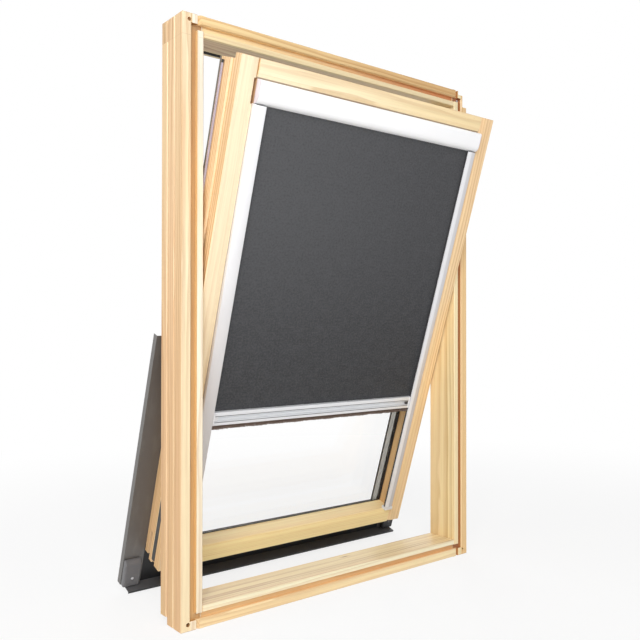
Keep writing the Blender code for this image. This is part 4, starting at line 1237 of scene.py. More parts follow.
@dataclass
class SubAssembly:
    """What every sub-assembly has.

    Attributes:
        space: the sash's axes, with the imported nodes.
        pieces: the pieces made or dressed so far.
    """

    space: SashSpace
    pieces: list[bpy.types.Object] = field(default_factory=list, init=False)

    def build(self) -> None:
        """Make and dress the pieces."""
        raise NotImplementedError

    def dress(self, finish: Finish, *names: str) -> None:
        """Give CAD nodes that keep their shape a finish.

        Args:
            finish: the finish.
            *names: the nodes.
        """
        for name in names:
            node = self.space.nodes[name]
            node.data.materials.clear()
            node.data.materials.append(finish.material())
            self.pieces.append(node)

    def add(self, shape: Shape, finish: Finish, body: str | None, **edges: float) -> bpy.types.Object:
        """Make a piece of a shape that was drawn in the sash's axes.

        Args:
            shape: the shape.
            finish: its finish.
            body: the CAD body that it rides on, or None if it rides on none.
            **edges: what the shape's make method takes for its edges.

        Returns:
            The piece.
        """
        piece = shape.make(self.space.matrix, finish, body, **edges)
        self.pieces.append(piece)
        return piece


@dataclass
class OuterFrame(SubAssembly):
    """The fixed pine frame: two jambs, head and sill, with the head seal and the corner screws.

    Attributes:
        corner: where a jamb's groove starts, across the window, so that it takes in its rounded edge.
        edge: softness of a groove's limits.
        splice: height of the finger joint in the left jamb.
    """

    corner: float = 0.3465
    edge: float = 0.0005
    splice: float = 1.135

    def groove(self, name: str, **tones: Colour | Pair) -> Groove:
        """Describe one stained groove from the record's opening for the lining board.

        Args:
            name: which side of the window the groove is on.
            **tones: colours and spans of the groove.

        Returns:
            The groove, measured across the member that it is cut in.
        """
        openings = {hole["name"]: hole["box_m"] for hole in frame["record"]["physics"]["openings"]}
        low, high = openings["lining_groove_" + name]
        upright = name in ("left", "right")
        across, along = (0, 2) if upright else (2, 0)
        near, far = sorted(abs(corner[across]) for corner in (low, high))
        far += self.edge
        beyond = (near - self.edge, near - 2 * self.edge) if name == "sill" else (far, far + self.edge)
        near = self.corner if upright else near - self.edge
        room = min(vertex.co.y for vertex in self.space.nodes["frame_head"].data.vertices)
        tones.setdefault("span", (low[along], high[along]))
        tones.setdefault("rim_end", tones["rim"])
        return Groove(low=near, high=far, face=room, floor=high[1] + self.edge, beyond=beyond, **tones)

    def build(self) -> None:
        """Give each member its own cut of pine."""
        # The groove floors hold painted shade besides the stain; the right jamb's groove and rim and the
        # head's right end are painted darker still, as painted shade away from the lamps.
        left = self.groove("left", start=(0.62, 0.36, 0.13), end=(0.46, 0.25, 0.09),
                           wall=(0.95, 0.66, 0.30), rim=(0.97, 0.88, 0.70), bleed=(0.93, 1.02))
        right = self.groove("right", start=(0.42, 0.15, 0.05), end=(0.36, 0.11, 0.04),
                            wall=(0.55, 0.24, 0.08), rim=(0.88, 0.66, 0.48))
        head = self.groove("head", start=(0.94, 0.76, 0.44), end=(0.58, 0.20, 0.06),
                           wall=(0.95, 0.68, 0.36), rim=(0.97, 0.90, 0.74), rim_end=(0.74, 0.54, 0.32))
        sill = self.groove("sill", start=(0.86, 0.56, 0.26), end=(0.80, 0.44, 0.17),
                           wall=(0.90, 0.60, 0.30), rim=(1.0, 0.87, 0.70))
        self.dress(Pine(pith=(-0.315, 0.055), early=(0.79, 0.57, 0.32), foot=(0.68, 0.43, 0.19),
                        late=(0.52, 0.27, 0.10), front=(0.98, 0.94, 0.79), front_foot=(0.98, 0.90, 0.70),
                        joint=self.splice, groove=left), "frame_jamb_left")
        self.dress(Pine(pith=(0.465, 0.035), early=(0.98, 0.80, 0.48), foot=(0.97, 0.79, 0.45),
                        late=(0.70, 0.47, 0.20), blush=(0.93, 0.68, 0.38), olive=(0.86, 0.72, 0.42),
                        contrast=0.8, front=(0.98, 0.86, 0.56), front_foot=(0.98, 0.84, 0.52),
                        groove=right), "frame_jamb_right")
        self.dress(Pine(grain=Grain.LEVEL, pith=(1.235, 0.03), early=(0.90, 0.70, 0.32),
                        foot=(0.92, 0.76, 0.40), front=(0.94, 0.79, 0.50), front_foot=(0.94, 0.80, 0.50),
                        span=(-0.35, 0.35), groove=head), "frame_head")
        self.dress(Pine(grain=Grain.LEVEL, pith=(-0.045, 0.05), early=(0.99, 0.83, 0.52),
                        foot=(0.99, 0.83, 0.52), front=(0.99, 0.92, 0.66), front_foot=(0.99, 0.92, 0.66),
                        knots=True, span=(-0.35, 0.35), olive=(0.84, 0.68, 0.40), blush=(0.93, 0.68, 0.40),
                        contrast=0.8, groove=sill), "frame_sill")
        self.dress(Rubber(), "frame_head_gasket")
        # The left bottom screw is painted dark brown: painted shade of its sunk hole.
        self.dress(Zinc(colour=(0.20, 0.11, 0.06), dull=(0.10, 0.05, 0.03)), "frame_screw_left_bottom")
        self.dress(Zinc(colour=(0.92, 0.72, 0.46), dull=(0.80, 0.58, 0.34), metallic=0.0),
                   "frame_screw_left_top")
        self.dress(Zinc(), "frame_screw_right_top", "frame_screw_right_bottom")


@dataclass
class SashWood(SubAssembly):
    """The pine sash with its seals and its glass.

    Attributes:
        tube_depth: depths between which a tube seal lies.
        tube_stands: how far it stands out of the stile's flank.
        tube_top: its upper end.
        mouth: length of the tube's top that is painted near black as painted shade of its bore.
        hinge_gap: space between its lower end and the hinge plate.
        bore: width of the bore, as a share of the tube's.
        sides: corners of its outline.
        pocket: heights of the shaded pocket in the stiles beside the cassette.
    """

    tube_depth: Pair = (0.0600, 0.0672)
    tube_stands: float = 0.0035
    tube_top: float = 1.0560
    mouth: float = 0.0060
    hinge_gap: float = 0.006
    bore: float = 0.55
    sides: int = 28
    pocket: Pair = (0.9890, 1.0360)

    def build(self) -> None:
        """Give the sash members paler pine, with the grain along each member, and add the tube seals."""
        tilt = self.space.tilt
        self.dress(Pine(tilt=tilt, pith=(-0.29, 0.10), early=(0.88, 0.64, 0.37), foot=(0.84, 0.58, 0.30),
                        late=(0.60, 0.32, 0.12), front=(0.98, 0.85, 0.60), front_foot=(0.98, 0.78, 0.50),
                        pocket=self.pocket), "sash_stile_left")
        # The right stile is painted darker and more orange than the left: painted shade away from the
        # lamps.
        self.dress(Pine(tilt=tilt, pith=(0.40, 0.08), early=(0.82, 0.58, 0.30), foot=(0.80, 0.52, 0.24),
                        front=(0.96, 0.70, 0.41), front_foot=(0.98, 0.73, 0.42), pocket=self.pocket),
                   "sash_stile_right")
        self.dress(Pine(grain=Grain.LEVEL, tilt=tilt, pith=(0.86, -0.30), early=(0.90, 0.72, 0.42),
                        foot=(0.90, 0.72, 0.42), front=(0.96, 0.78, 0.46), front_foot=(0.98, 0.86, 0.60),
                        span=(-0.30, 0.30), seam=(1.0340, 1.0385)), "sash_top_rail")
        self.dress(Pine(grain=Grain.LEVEL, tilt=tilt, pith=(-0.10, 0.16), ring=0.0042,
                        early=(1.0, 0.82, 0.46), foot=(1.0, 0.81, 0.44), front=(1.0, 0.84, 0.44),
                        front_foot=(1.0, 0.83, 0.42), olive=(0.92, 0.70, 0.36),
                        blush=(0.98, 0.70, 0.36), late=(0.78, 0.47, 0.18), contrast=0.55, calm=0.2,
                        span=(-0.30, 0.30)), "sash_bottom_rail")
        self.dress(Rubber(colour=(0.060, 0.060, 0.058), dusty=(0.14, 0.135, 0.13)), *both("sash_side_seal"))
        self.dress(Rubber(), "pane_room_seal", "pane_outer_seal")
        self.dress(Glass(), "pane_inner", "pane_outer")
        self.dress(BareMetal(colour=(0.50, 0.49, 0.45), dull=(0.40, 0.39, 0.36), rough=0.4), "pane_spacer")
        self._tube_seals()

    def _tube_seals(self) -> None:
        """Lay a hollow soft tube along the upper half of each stile's flank, above the hinge."""
        _, plate = self.space.box("hinge_sash_plate_left")
        front, rear = self.tube_depth
        centre, half = (front + rear) / 2, (rear - front) / 2
        thin = self.tube_stands / 2
        turns = [2 * math.pi * step / self.sides for step in range(self.sides)]
        for label, side in SIDES:
            low, high = self.space.box("sash_stile_" + label)
            middle = max(abs(low.x), abs(high.x)) + thin
            outlines = [[(side * (middle + thin * reach * math.cos(turn)),
                          centre + half * reach * math.sin(turn)) for turn in turns]
                        for reach in (1.0, self.bore)]
            tube = Shape("tube_seal_" + label).pipe(*outlines, plate.z + self.hinge_gap, self.tube_top)
            finish = SoftSeal(mouth=self.tube_top - self.mouth)
            self.add(tube, finish, "sash", sharp=50.0)


@dataclass
class Hinges(SubAssembly):
    """The two pivot hinges."""

    def build(self) -> None:
        """Give the hinges zinc and their washers plastic."""
        self.dress(Zinc(), *both("hinge_frame_plate", "hinge_sash_plate", "pivot_pin"))
        self.dress(GreyPlastic(), *both("pivot_washer"))


@dataclass
class OuterCovers(SubAssembly):
    """The dark covers on the weather side, with their end blocks and screws."""

    def build(self) -> None:
        """Paint the covers."""
        self.dress(DarkSheet(), *both("cover_side"))
        self.dress(DarkSheet(colour=(0.16, 0.155, 0.15), pale=(0.26, 0.25, 0.24)), *both("profile_upper"),
                   "profile_top")
        # The bottom cover is near black, its upward faces painted paler as painted light.
        self.dress(DarkSheet(colour=(0.012, 0.012, 0.013), pale=(0.030, 0.030, 0.033),
                             painted_lit_ledge=(0.13, 0.13, 0.135)), "cover_bottom")
        self.dress(GreyPlastic(), "end_block_left")
        # The right end block and its screw are painted near black: painted shade under the sash.
        self.dress(GreyPlastic(colour=(0.020, 0.020, 0.022), worn=(0.035, 0.035, 0.038)), "end_block_right")
        self.dress(Zinc(), "end_block_screw_left")
        self.dress(Zinc(colour=(0.16, 0.16, 0.17), dull=(0.09, 0.09, 0.10)), "end_block_screw_right")


@dataclass
class Headbox(SubAssembly):
    """The white cassette that hides the roller.

    Attributes:
        wall: thickness of the cover.
        nose: radius of its upper front edge.
        lip: radius of its lower front edge.
        pale_edge: depth of the pale front of an end cap, which stands out of the wood.
        cap_round: rounding of a cap's edges.
        fine: pieces that each arc is cut into.
    """

    wall: float = 0.0012
    nose: float = 0.006
    lip: float = 0.016
    pale_edge: float = 0.0122
    cap_round: float = 0.0003
    fine: int = 12

    def profile(self, inset: float) -> list[Pair]:
        """Line of the cover from its rear top edge round the front to the lip at the fabric slot.

        Args:
            inset: how far the line lies inside the outer surface.

        Returns:
            Its points as depth and height.
        """
        low, high = self.space.box("headbox_cover")
        front, rear = low.y + inset, high.y
        top, bottom = high.z - inset, low.z + inset
        nose, lip = self.nose - inset, self.lip - inset
        upper = arc((front + nose, top - nose), nose, 90, 180, self.fine)
        lower = arc((front + lip, bottom + lip), lip, 180, 270, self.fine)
        return [(rear, top)] + upper + lower

    def build(self) -> None:
        """Make the cover and the end caps, and dress the rest."""
        low, high = self.space.box("headbox_cover")
        outline = self.profile(0.0) + self.profile(self.wall)[::-1]
        cover = Shape("cassette_cover").prism(outline, "X", low.x, high.x)
        coat = Lacquer(colour=(0.97, 0.97, 0.98), tint=(0.90, 0.895, 0.905))
        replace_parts(self.add(cover, coat, "sash"), "headbox_cover")
        for node in both("headbox_cap"):
            low, high = self.space.box(node)
            outline = self.profile(0.0)[1:] + [(high.y, low.z), (high.y, high.z)]
            cap = Shape(node.replace("headbox", "cassette")).prism(outline, "X", low.x, high.x)
            finish = CapSide(edge=low.y + self.pale_edge)
            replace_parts(self.add(cap, finish, "sash", bevel=self.cap_round), node)
        self.dress(Lacquer(), "headbox_back")
        self.dress(Zinc(), *both("roller_bracket"), "roller_shaft")


@dataclass
class Roller(SubAssembly):
    """The roller tube, its plugs and spring, and the fabric wound on it.

    Attributes:
        turns: how often the fabric goes round.
        steps: pieces that one turn is cut into.
        fill: thickness of the fabric as a share of the room that a turn has.
    """

    turns: int = 5
    steps: int = 40
    fill: float = 0.8

    def build(self) -> None:
        """Wind the fabric as one spiral strip, and dress the tube and its fittings."""
        low, high = self.space.box("fabric_roll")
        tube_low, tube_high = self.space.box("roller_tube")
        centre = ((low.y + high.y) / 2, (low.z + high.z) / 2)
        outer = (high.z - low.z) / 2
        inner = (tube_high.z - tube_low.z) / 2 + SEAT
        pitch = (outer - inner) / (self.turns + 1)
        thick = pitch * self.fill
        count = self.turns * self.steps
        outside, inside = [], []
        for index in range(count + 1):
            turn = 2 * math.pi * index / self.steps
            radius = outer - pitch * index / self.steps
            for line, shorter in ((outside, 0.0), (inside, thick)):
                line.append((centre[0] - (radius - shorter) * math.cos(turn),
                             centre[1] + (radius - shorter) * math.sin(turn)))
        roll = Shape("wound_fabric").prism(outside + inside[::-1], "X", low.x, high.x)
        finish = Rubber(colour=(0.085, 0.087, 0.092), rough=0.7)
        piece = self.add(roll, finish, "roller", sharp=50.0)
        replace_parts(piece, "fabric_roll")
        self.dress(BareMetal(), "roller_tube")
        self.dress(Plastic(), "roller_idler", "roller_spring_plug")
        self.dress(Zinc(), "roller_spring")


@dataclass
class GuideRails(SubAssembly):
    """The two side rails with their feet and the black pile strip along the fabric.

    Attributes:
        strip: how far a pile strip reaches past the rail's inner edge.
        strip_depth: how thick it is from front to rear.
        strip_gap: its gap to the fabric.
        tuft: pitch of its tufts.
        uneven: a tuft is shorter by up to twice this share of the strip.
        tip: where a tuft's tip starts and ends, in pitches.
        wall: thickness of the rail's metal.
        leg: width of the leg by which it lies on the stile.
        hook: depth of the flange along its inner edge.
        fold: where its face begins to slope back, as a share of its width.
        slope: how far the face slopes back.
        rounding: rounding of its edges.
    """

    strip: float = 0.0011
    strip_depth: float = 0.0040
    strip_gap: float = 2 * SEAT
    tuft: float = 0.0022
    uneven: float = 0.25
    tip: Pair = (0.25, 0.75)
    wall: float = 0.0014
    leg: float = 0.015
    hook: float = 0.0058
    fold: float = 0.40
    slope: float = 0.0036
    rounding: float = 0.0003

    def _rail(self, label: str, side: int) -> None:
        """Redraw one rail, whose face slopes back over its outer part.

        Args:
            label: which rail.
            side: minus 1 for the left, 1 for the right.
        """
        node = "side_rail_" + label
        low, high = self.space.box(node)
        inner, outer = sorted((abs(low.x), abs(high.x)))
        front, back, wall = low.y, high.y, self.wall
        bend = inner + (outer - inner) * self.fold
        rear, hook = outer - self.leg, front + wall + self.hook
        outline = [(inner, front), (bend, front), (outer, front + self.slope), (outer, back),
                   (rear, back), (rear, back - wall), (outer - wall, back - wall),
                   (outer - wall, front + self.slope + wall), (bend, front + wall),
                   (inner + wall, front + wall), (inner + wall, hook), (inner, hook)]
        # Painted shade: both rails darken towards their feet, the right rail's outer part still more.
        if side < 0:
            tones: dict = {"span": (0.26, 0.98), "foot": (0.66, 0.64, 0.635)}
        else:
            tones = {"span": (0.26, 0.60), "foot": (0.86, 0.86, 0.88), "flank": (0.60, 0.58, 0.60)}
        finish = Lacquer(colour=(0.84, 0.84, 0.86), tint=(0.75, 0.74, 0.77), level=False, bend=bend,
                         **tones)
        outline = [(side * across, depth) for across, depth in outline]
        rail = Shape("rail_" + label).prism(outline, "Z", low.z, high.z)
        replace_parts(self.add(rail, finish, "sash", bevel=self.rounding), node)

    def _strip(self, label: str, side: int) -> None:
        """Set a pile strip along one rail's inner edge, in front of the fabric.

        Args:
            label: which rail.
            side: minus 1 for the left, 1 for the right.
        """
        low, high = self.space.box("side_rail_" + label)
        cloth, _ = self.space.box("blind_fabric")
        edge = min(abs(low.x), abs(high.x))
        rear = cloth.y - self.strip_gap
        tufts = int((high.z - low.z) / self.tuft)
        line = [(side * edge, low.z)]
        for step in range(tufts):
            foot = low.z + (high.z - low.z) * step / tufts
            tide = math.sin(step * 2.3) * math.sin(step * 0.71)
            reach = self.strip * (1.0 - self.uneven + self.uneven * tide)
            line += [(side * (edge - reach), foot + self.tuft * share) for share in self.tip]
        line.append((side * edge, high.z))
        strip = Shape("rail_pile_" + label).prism(line, "Y", rear - self.strip_depth, rear)
        black = Pile(colour=(0.016, 0.016, 0.018), lighter=(0.05, 0.05, 0.055))
        self.add(strip, black, "sash")

    def build(self) -> None:
        """Make the rails and their pile strips, and dress the feet."""
        for label, side in SIDES:
            self._rail(label, side)
        self.dress(Plastic(), *both("rail_foot"))
        for label, side in SIDES:
            self._strip(label, side)


@dataclass
class BlindFabric(SubAssembly):
    """The drawn blackout fabric: one thin sheet from the roller to the bottom bar.

    Attributes:
        columns: how many pieces it is cut into across.
        rows: how many it is cut into along its height.
        ripple: depth of its faint waves.
    """

    columns: int = 60
    rows: int = 80
    ripple: float = 0.00025

    def build(self) -> None:
        """Make the sheet as a closed thin shell with a flat map in metres, and bake its placement into its
        mesh.
        """
        low, high = self.space.box("blind_fabric")
        shape = Shape("drawn_fabric")
        flat = shape.builder.loops.layers.uv.new("flat")
        front, back = (self._layer(shape.builder, depth, low, high) for depth in (low.y, high.y))
        self._fill(shape.builder, front, False)
        self._fill(shape.builder, back, True)
        self._close(shape.builder, front, back)
        for face in shape.builder.faces:
            for loop in face.loops:
                loop[flat].uv = (loop.vert.co.x, loop.vert.co.z)
        sheet = self.add(shape, Blackout(), None, sharp=60.0)
        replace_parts(sheet, "blind_fabric")
        _, bar_high = self.space.box("bottom_bar")
        cover_low, _ = self.space.box("headbox_cover")
        self.space.point(0.0, low.y, cover_low.z)
        self.space.point(0.0, low.y, bar_high.z)
        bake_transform(sheet)

    def _layer(self, builder: bmesh.types.BMesh, depth: float, low: Vector, high: Vector) -> list[list]:
        """Lay out the vertices of one face of the sheet.

        Args:
            builder: the mesh.
            depth: depth of the face where it is flat.
            low: lowest corner of the sheet.
            high: highest corner.

        Returns:
            Its rows of vertices, from below.
        """
        rows = []
        for row in range(self.rows + 1):
            up = low.z + (high.z - low.z) * row / self.rows
            line = []
            for column in range(self.columns + 1):
                x = low.x + (high.x - low.x) * column / self.columns
                line.append(builder.verts.new((x, depth + self._wave(x, up, low, high), up)))
            rows.append(line)
        return rows

    def _wave(self, x: float, up: float, low: Vector, high: Vector) -> float:
        """Depth of the faint ripple of the hanging cloth, which dies out at its edges.

        Args:
            x: place across.
            up: place along the height.
            low: lowest corner of the sheet.
            high: highest corner.

        Returns:
            The depth in metres.
        """
        across = (x - low.x) / (high.x - low.x)
        height = (up - low.z) / (high.z - low.z)
        fade = math.sin(math.pi * across) * math.sin(math.pi * height)
        broad = math.sin(7.0 * across + 2.0 * height)
        return self.ripple * fade * (broad + 0.5 * math.sin(17.0 * across + 1.0))

    @staticmethod
    def _fill(builder: bmesh.types.BMesh, rows: list[list], flip: bool) -> None:
        """Span one face of the sheet.

        Args:
            builder: the mesh.
            rows: its rows of vertices.
            flip: whether it faces the weather.
        """
        for below, above in zip(rows, rows[1:]):
            for column in range(len(below) - 1):
                after = column + 1
                square = [below[column], below[after], above[after], above[column]]
                builder.faces.new(square[::-1] if flip else square)

    @staticmethod
    def _close(builder: bmesh.types.BMesh, front: list[list], back: list[list]) -> None:
        """Join the two faces along the sheet's four edges.

        Args:
            builder: the mesh.
            front: rows of vertices of the front.
            back: rows of vertices of the back.
        """
        edges = [(front[0], back[0]), (front[-1], back[-1])]
        edges += [([row[end] for row in front], [row[end] for row in back]) for end in (0, -1)]
        for near, far in edges:
            for index in range(len(near) - 1):
                builder.faces.new((near[index], near[index + 1], far[index + 1], far[index]))


@dataclass
class BottomBar(SubAssembly):
    """The white anodised bar that pulls the fabric down, with its grip, end caps, glides and brush.

    Attributes:
        cap: thickness of an end cap.
        cap_round: rounding of its edges.
        notch: length of the tongue that an end cap has in the finger hollow.
        tongue: how far that tongue stands out from the hollow's floor.
        tongue_gap: its gap to the hollow's upper and lower edge.
        tongue_round: rounding of its edges.
        top_rib: height of the upper rib.
        line: width of each fine line.
        line_depth: depth of each fine line.
        lip: height of the lip between a fine line and the hollow.
        low_rib: height of the lower rib.
        hollow: depth of the finger hollow.
        full: how boxy the hollow is; 1 is a round one, and less is fuller.
        soft: radius of the bar's front edges.
        soft_steps: pieces that each of them is cut into.
        hollow_steps: pieces that the hollow is cut into.
        backing: height of the brush's backing strip.
        sunk: how far the strands' roots stand inside it.
        strands: how many there are.
        reach: length of the longest ones.
        uneven: one is shorter by up to this share for its patch, and as much again by chance.
        lean: how far a tip may stand to the side, in pitches.
        stagger: how far a root may stand before or behind the middle, as a share of the brush's depth.
        widths: least and greatest width of a strand, in pitches.
        forward: how far their tips stand towards the room.
        seed: start of the random draws.
    """

    cap: float = 0.0035
    cap_round: float = 0.0007
    notch: float = 0.0078
    tongue: float = 0.0045
    tongue_gap: float = 0.0008
    tongue_round: float = 0.0004
    top_rib: float = 0.0082
    line: float = 0.0013
    line_depth: float = 0.0030
    lip: float = 0.0013
    low_rib: float = 0.0068
    hollow: float = 0.0062
    full: float = 0.7
    soft: float = 0.0012
    soft_steps: int = 5
    hollow_steps: int = 14
    backing: float = 0.0012
    sunk: float = 0.0002
    strands: int = 420
    reach: float = 0.0092
    uneven: float = 0.15
    lean: float = 0.6
    stagger: float = 0.3
    widths: Pair = (1.6, 2.3)
    forward: float = 0.0040
    seed: int = 11

    def build(self) -> None:
        """Make the bar, its end caps and its brush."""
        low, high = self.space.box("bottom_bar")
        ends = (low.x + self.cap + SEAT, high.x - self.cap - SEAT)
        foot, head = self._levels()
        finish = GripMetal(colour=(0.84, 0.85, 0.87), dull=(0.68, 0.69, 0.72), rough=0.30, metallic=0.40,
                           hollow=(foot, head),
                           upper=(head + self.lip, head + self.lip + self.line),
                           lower=(foot - self.lip - self.line, foot - self.lip))
        bar = Shape("grip_bar").prism(self._profile(), "X", *ends)
        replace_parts(self.add(bar, finish, "blind_bar", sharp=25.0), "bottom_bar")
        for label, side in SIDES:
            self._cap(label, side, ends)
        self._brush()
        self.dress(Plastic(), *both("bar_glide"))

    def _levels(self) -> Pair:
        """Heights between which the finger hollow lies.

        Returns:
            Its lower and upper edge.
        """
        low, high = self.space.box("bottom_bar")
        edge = self.line + self.lip
        return low.z + self.low_rib + edge, high.z - self.top_rib - edge

    def _profile(self) -> list[Pair]:
        """Outline of the bar: a rib on top, a fine line, the finger hollow, a fine line and a lower rib.

        Returns:
            Its points as depth and height.
        """
        low, high = self.space.box("bottom_bar")
        front, back, top, base = low.y, high.y, high.z, low.z
        soft, steps = self.soft, self.hollow_steps
        foot, head = self._levels()
        middle, half = (foot + head) / 2, (head - foot) / 2
        turns = [math.pi * step / steps for step in range(steps + 1)]
        points = [(back, base), (back, top)]
        points += arc((front + soft, top - soft), soft, 90, 180, self.soft_steps)
        points += self._fine_line(front, top - self.top_rib)
        points += [(front + self.hollow * math.sin(turn) ** self.full, middle + half * math.cos(turn))
                   for turn in turns]
        points += self._fine_line(front, base + self.low_rib + self.line)
        points += arc((front + soft, base + soft), soft, 180, 270, self.soft_steps)
        return points

    def _fine_line(self, front: float, top: float) -> list[Pair]:
        """Corners of one fine square groove, given the depth of the bar's face and its upper edge."""
        deep, foot = front + self.line_depth, top - self.line
        return [(front, top), (deep, top), (deep, foot), (front, foot)]

    def _cap(self, label: str, side: int, ends: Pair) -> None:
        """Close one end with a moulded cap whose tongue, dark on the right only, shows in the hollow.

        Args:
            label: which end.
            side: minus 1 for the left, 1 for the right.
            ends: where the bar's profile ends.
        """
        low, high = self.space.box("bottom_bar")
        start = ends[1] + SEAT if side > 0 else low.x
        stop = high.x if side > 0 else ends[0] - SEAT
        cap = Shape("bar_cap_" + label).block((start, low.y, low.z), (stop, high.y, high.z))
        pale = Plastic(colour=(0.86, 0.86, 0.88), worn=(0.74, 0.74, 0.77))
        self.add(cap, pale, "blind_bar", bevel=self.cap_round, segments=3)
        foot, head = self._levels()
        near, far = sorted((side * (abs(ends[1]) - self.notch), side * abs(ends[1])))
        depth = low.y + self.hollow
        tongue = Shape("bar_tongue_" + label)
        tongue.block((near, depth - self.tongue, foot + self.tongue_gap),
                     (far, depth - 2 * SEAT, head - self.tongue_gap))
        dark = GreyPlastic(colour=(0.035, 0.035, 0.04), worn=(0.07, 0.07, 0.075))
        finish = dark if side > 0 else Plastic()
        self.add(tongue, finish, "blind_bar", bevel=self.tongue_round)

    def _brush(self) -> None:
        """Make the brush: its backing strip and uneven strands that hang from it."""
        low, high = self.space.box("bar_brush")
        draw = random.Random(self.seed)
        backing = high.z - self.backing
        shape = Shape("bar_pile").block((low.x, low.y, backing), (high.x, high.y, high.z))
        pitch = (high.x - low.x) / self.strands
        middle = (low.y + high.y) / 2
        for index in range(self.strands):
            left = low.x + index * pitch
            patch = 0.5 + 0.5 * math.sin(index * 0.13) * math.sin(index * 0.041 + 1.0)
            drop = self.reach * (1.0 - self.uneven * (2.0 - patch) + draw.uniform(0.0, self.uneven))
            lean = draw.uniform(-self.lean, self.lean) * pitch
            depth = middle + draw.uniform(-self.stagger, self.stagger) * (high.y - low.y)
            wide = pitch * draw.uniform(*self.widths)
            shape.strand((left + pitch / 2, depth, backing + self.sunk), wide, drop, lean, self.forward)
        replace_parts(self.add(shape, Pile(), "blind_bar"), "bar_brush")


@dataclass(frozen=True)
class Lamp:
    """One soft square lamp.

    Attributes:
        name: its name.
        place: where it hangs.
        aim: where it points.
        size: its edge length.
        power: its power in watts.
    """

    name: str
    place: Triple
    aim: Triple
    size: float
    power: float


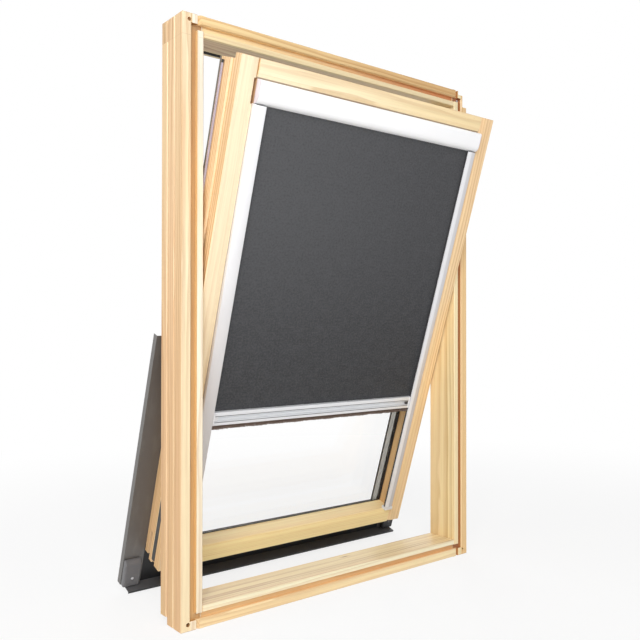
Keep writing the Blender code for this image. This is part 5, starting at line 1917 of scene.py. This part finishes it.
@dataclass
class Studio:
    """Camera, soft lamps, white surroundings and a pale floor.

    Attributes:
        eye: the camera's place.
        yaw: its turn to the right, in degrees.
        pitch: its tilt upwards, in degrees.
        lens: focal length in millimetres.
        sensor: width of the sensor in millimetres.
        shift: sideways shift of the picture.
        near: nearest distance that the camera shows.
        floor_size: edge length of the floor.
        ambient: strength of the light from all round.
        glow: share of plain white in the floor at the part.
        glow_span: distances between which the floor fades into white.
        white: colour of the surroundings.
        matt: colour of the floor.
        lamps: the lamps.
    """

    eye: Triple = (-1.0415, -1.3987, 0.5775)
    yaw: float = 41.614
    pitch: float = 0.519
    lens: float = 43.093
    sensor: float = 36.0
    shift: float = -0.125
    near: float = 0.01
    floor_size: float = 30.0
    ambient: float = 0.34
    glow: float = 0.80
    glow_span: Pair = (0.7, 2.4)
    white: Colour = (1.0, 1.0, 1.0)
    matt: Colour = (0.96, 0.96, 0.96)
    lamps: tuple[Lamp, ...] = (
        Lamp("key", (-1.5, -2.0, 2.0), (0.0, 0.0, 0.6), 1.5, 50.0),
        Lamp("side", (-3.4, 0.4, 1.4), (0.0, 0.0, 0.5), 2.0, 29.0),
        Lamp("back", (1.6, 3.0, 2.4), (0.0, 0.2, 0.6), 2.2, 30.0),
        Lamp("low", (-1.3, -2.1, 0.40), (0.0, 0.0, 0.6), 1.2, 9.0))

    def build(self) -> None:
        """Set the whole studio up."""
        self._camera()
        self._world()
        self._floor()
        for lamp in self.lamps:
            self._hang(lamp)
        bpy.context.scene.view_settings.view_transform = "Standard"

    def _camera(self) -> None:
        """Place the camera where the photograph was taken from."""
        camera = bpy.data.objects.new("camera", bpy.data.cameras.new("camera"))
        bpy.context.scene.collection.objects.link(camera)
        camera.location = self.eye
        camera.rotation_euler = (math.radians(90.0 + self.pitch), 0.0, math.radians(-self.yaw))
        camera.data.lens = self.lens
        camera.data.sensor_width = self.sensor
        camera.data.shift_x = self.shift
        camera.data.clip_start = self.near
        bpy.context.scene.camera = camera

    def _world(self) -> None:
        """Light evenly from all round, and show plain white behind, in gloss and through glass."""
        world = bpy.data.worlds.new("surroundings")
        bpy.context.scene.world = world
        world.use_nodes = True
        sheet = NodeSheet(world.node_tree)
        shader = world.node_tree.nodes["Background"]
        sheet.feed(shader.inputs["Color"], self.white)
        sheet.feed(shader.inputs["Strength"], sheet.seen() * (1.0 - self.ambient) + self.ambient)

    def _floor(self) -> None:
        """Lay the pale floor that catches the shadow and fades into white further out."""
        half = self.floor_size / 2
        builder = bmesh.new()
        signs = ((-1.0, -1.0), (1.0, -1.0), (1.0, 1.0), (-1.0, 1.0))
        builder.faces.new([builder.verts.new((x * half, y * half, -SEAT)) for x, y in signs])
        mesh = bpy.data.meshes.new("floor")
        builder.to_mesh(mesh)
        builder.free()
        floor = bpy.data.objects.new("floor", mesh)
        bpy.context.scene.collection.objects.link(floor)
        mesh.materials.append(self._floor_paint())

    def _floor_paint(self) -> bpy.types.Material:
        """Mix the floor's matt white with plain white light, for the rays that show it.

        Returns:
            The floor's material.
        """
        sheet = ShaderSheet("floor_paint")
        sheet.done(self.matt, 0.9)
        x, y, _ = sheet.split(sheet.place())
        far = (x * x + y * y).root()
        share = sheet.seen() * (far.rise(*self.glow_span) * (1.0 - self.glow) + self.glow)
        white = sheet.node("ShaderNodeEmission", None, {"Color": self.white, "Strength": 1.0})
        matt = Field(sheet, sheet.shader.outputs[0])
        mixed = sheet.node("ShaderNodeMixShader", None, {0: share, 1: matt, 2: white})
        sheet.feed(sheet.tree.nodes["Material Output"].inputs["Surface"], mixed)
        return sheet.material

    @staticmethod
    def _hang(lamp: Lamp) -> None:
        """Hang one lamp, which the camera doesn't see.

        Args:
            lamp: the lamp.
        """
        data = bpy.data.lights.new(lamp.name, "AREA")
        data.shape = "SQUARE"
        data.size = lamp.size
        data.energy = lamp.power
        hung = bpy.data.objects.new(lamp.name, data)
        bpy.context.scene.collection.objects.link(hung)
        hung.location = lamp.place
        hung.rotation_euler = (Vector(lamp.aim) - Vector(lamp.place)).to_track_quat("-Z", "Y").to_euler()
        hung.visible_camera = False


def main() -> None:
    """Build the scene in order."""
    logging.basicConfig(level=logging.INFO, format="%(message)s")
    Studio().build()
    space = SashSpace(frame)
    LOG.info("sash leans %.1f degrees", math.degrees(space.tilt))
    parts: tuple[SubAssembly, ...] = (
        OuterFrame(space), SashWood(space), Hinges(space), OuterCovers(space), Headbox(space),
        Roller(space), GuideRails(space), BlindFabric(space), BottomBar(space))
    for part in parts:
        part.build()
        for piece in part.pieces:
            LOG.info("%s: %s, %d faces", type(part).__name__, piece.name, len(piece.data.polygons))


if __name__ == "__main__":
    main()
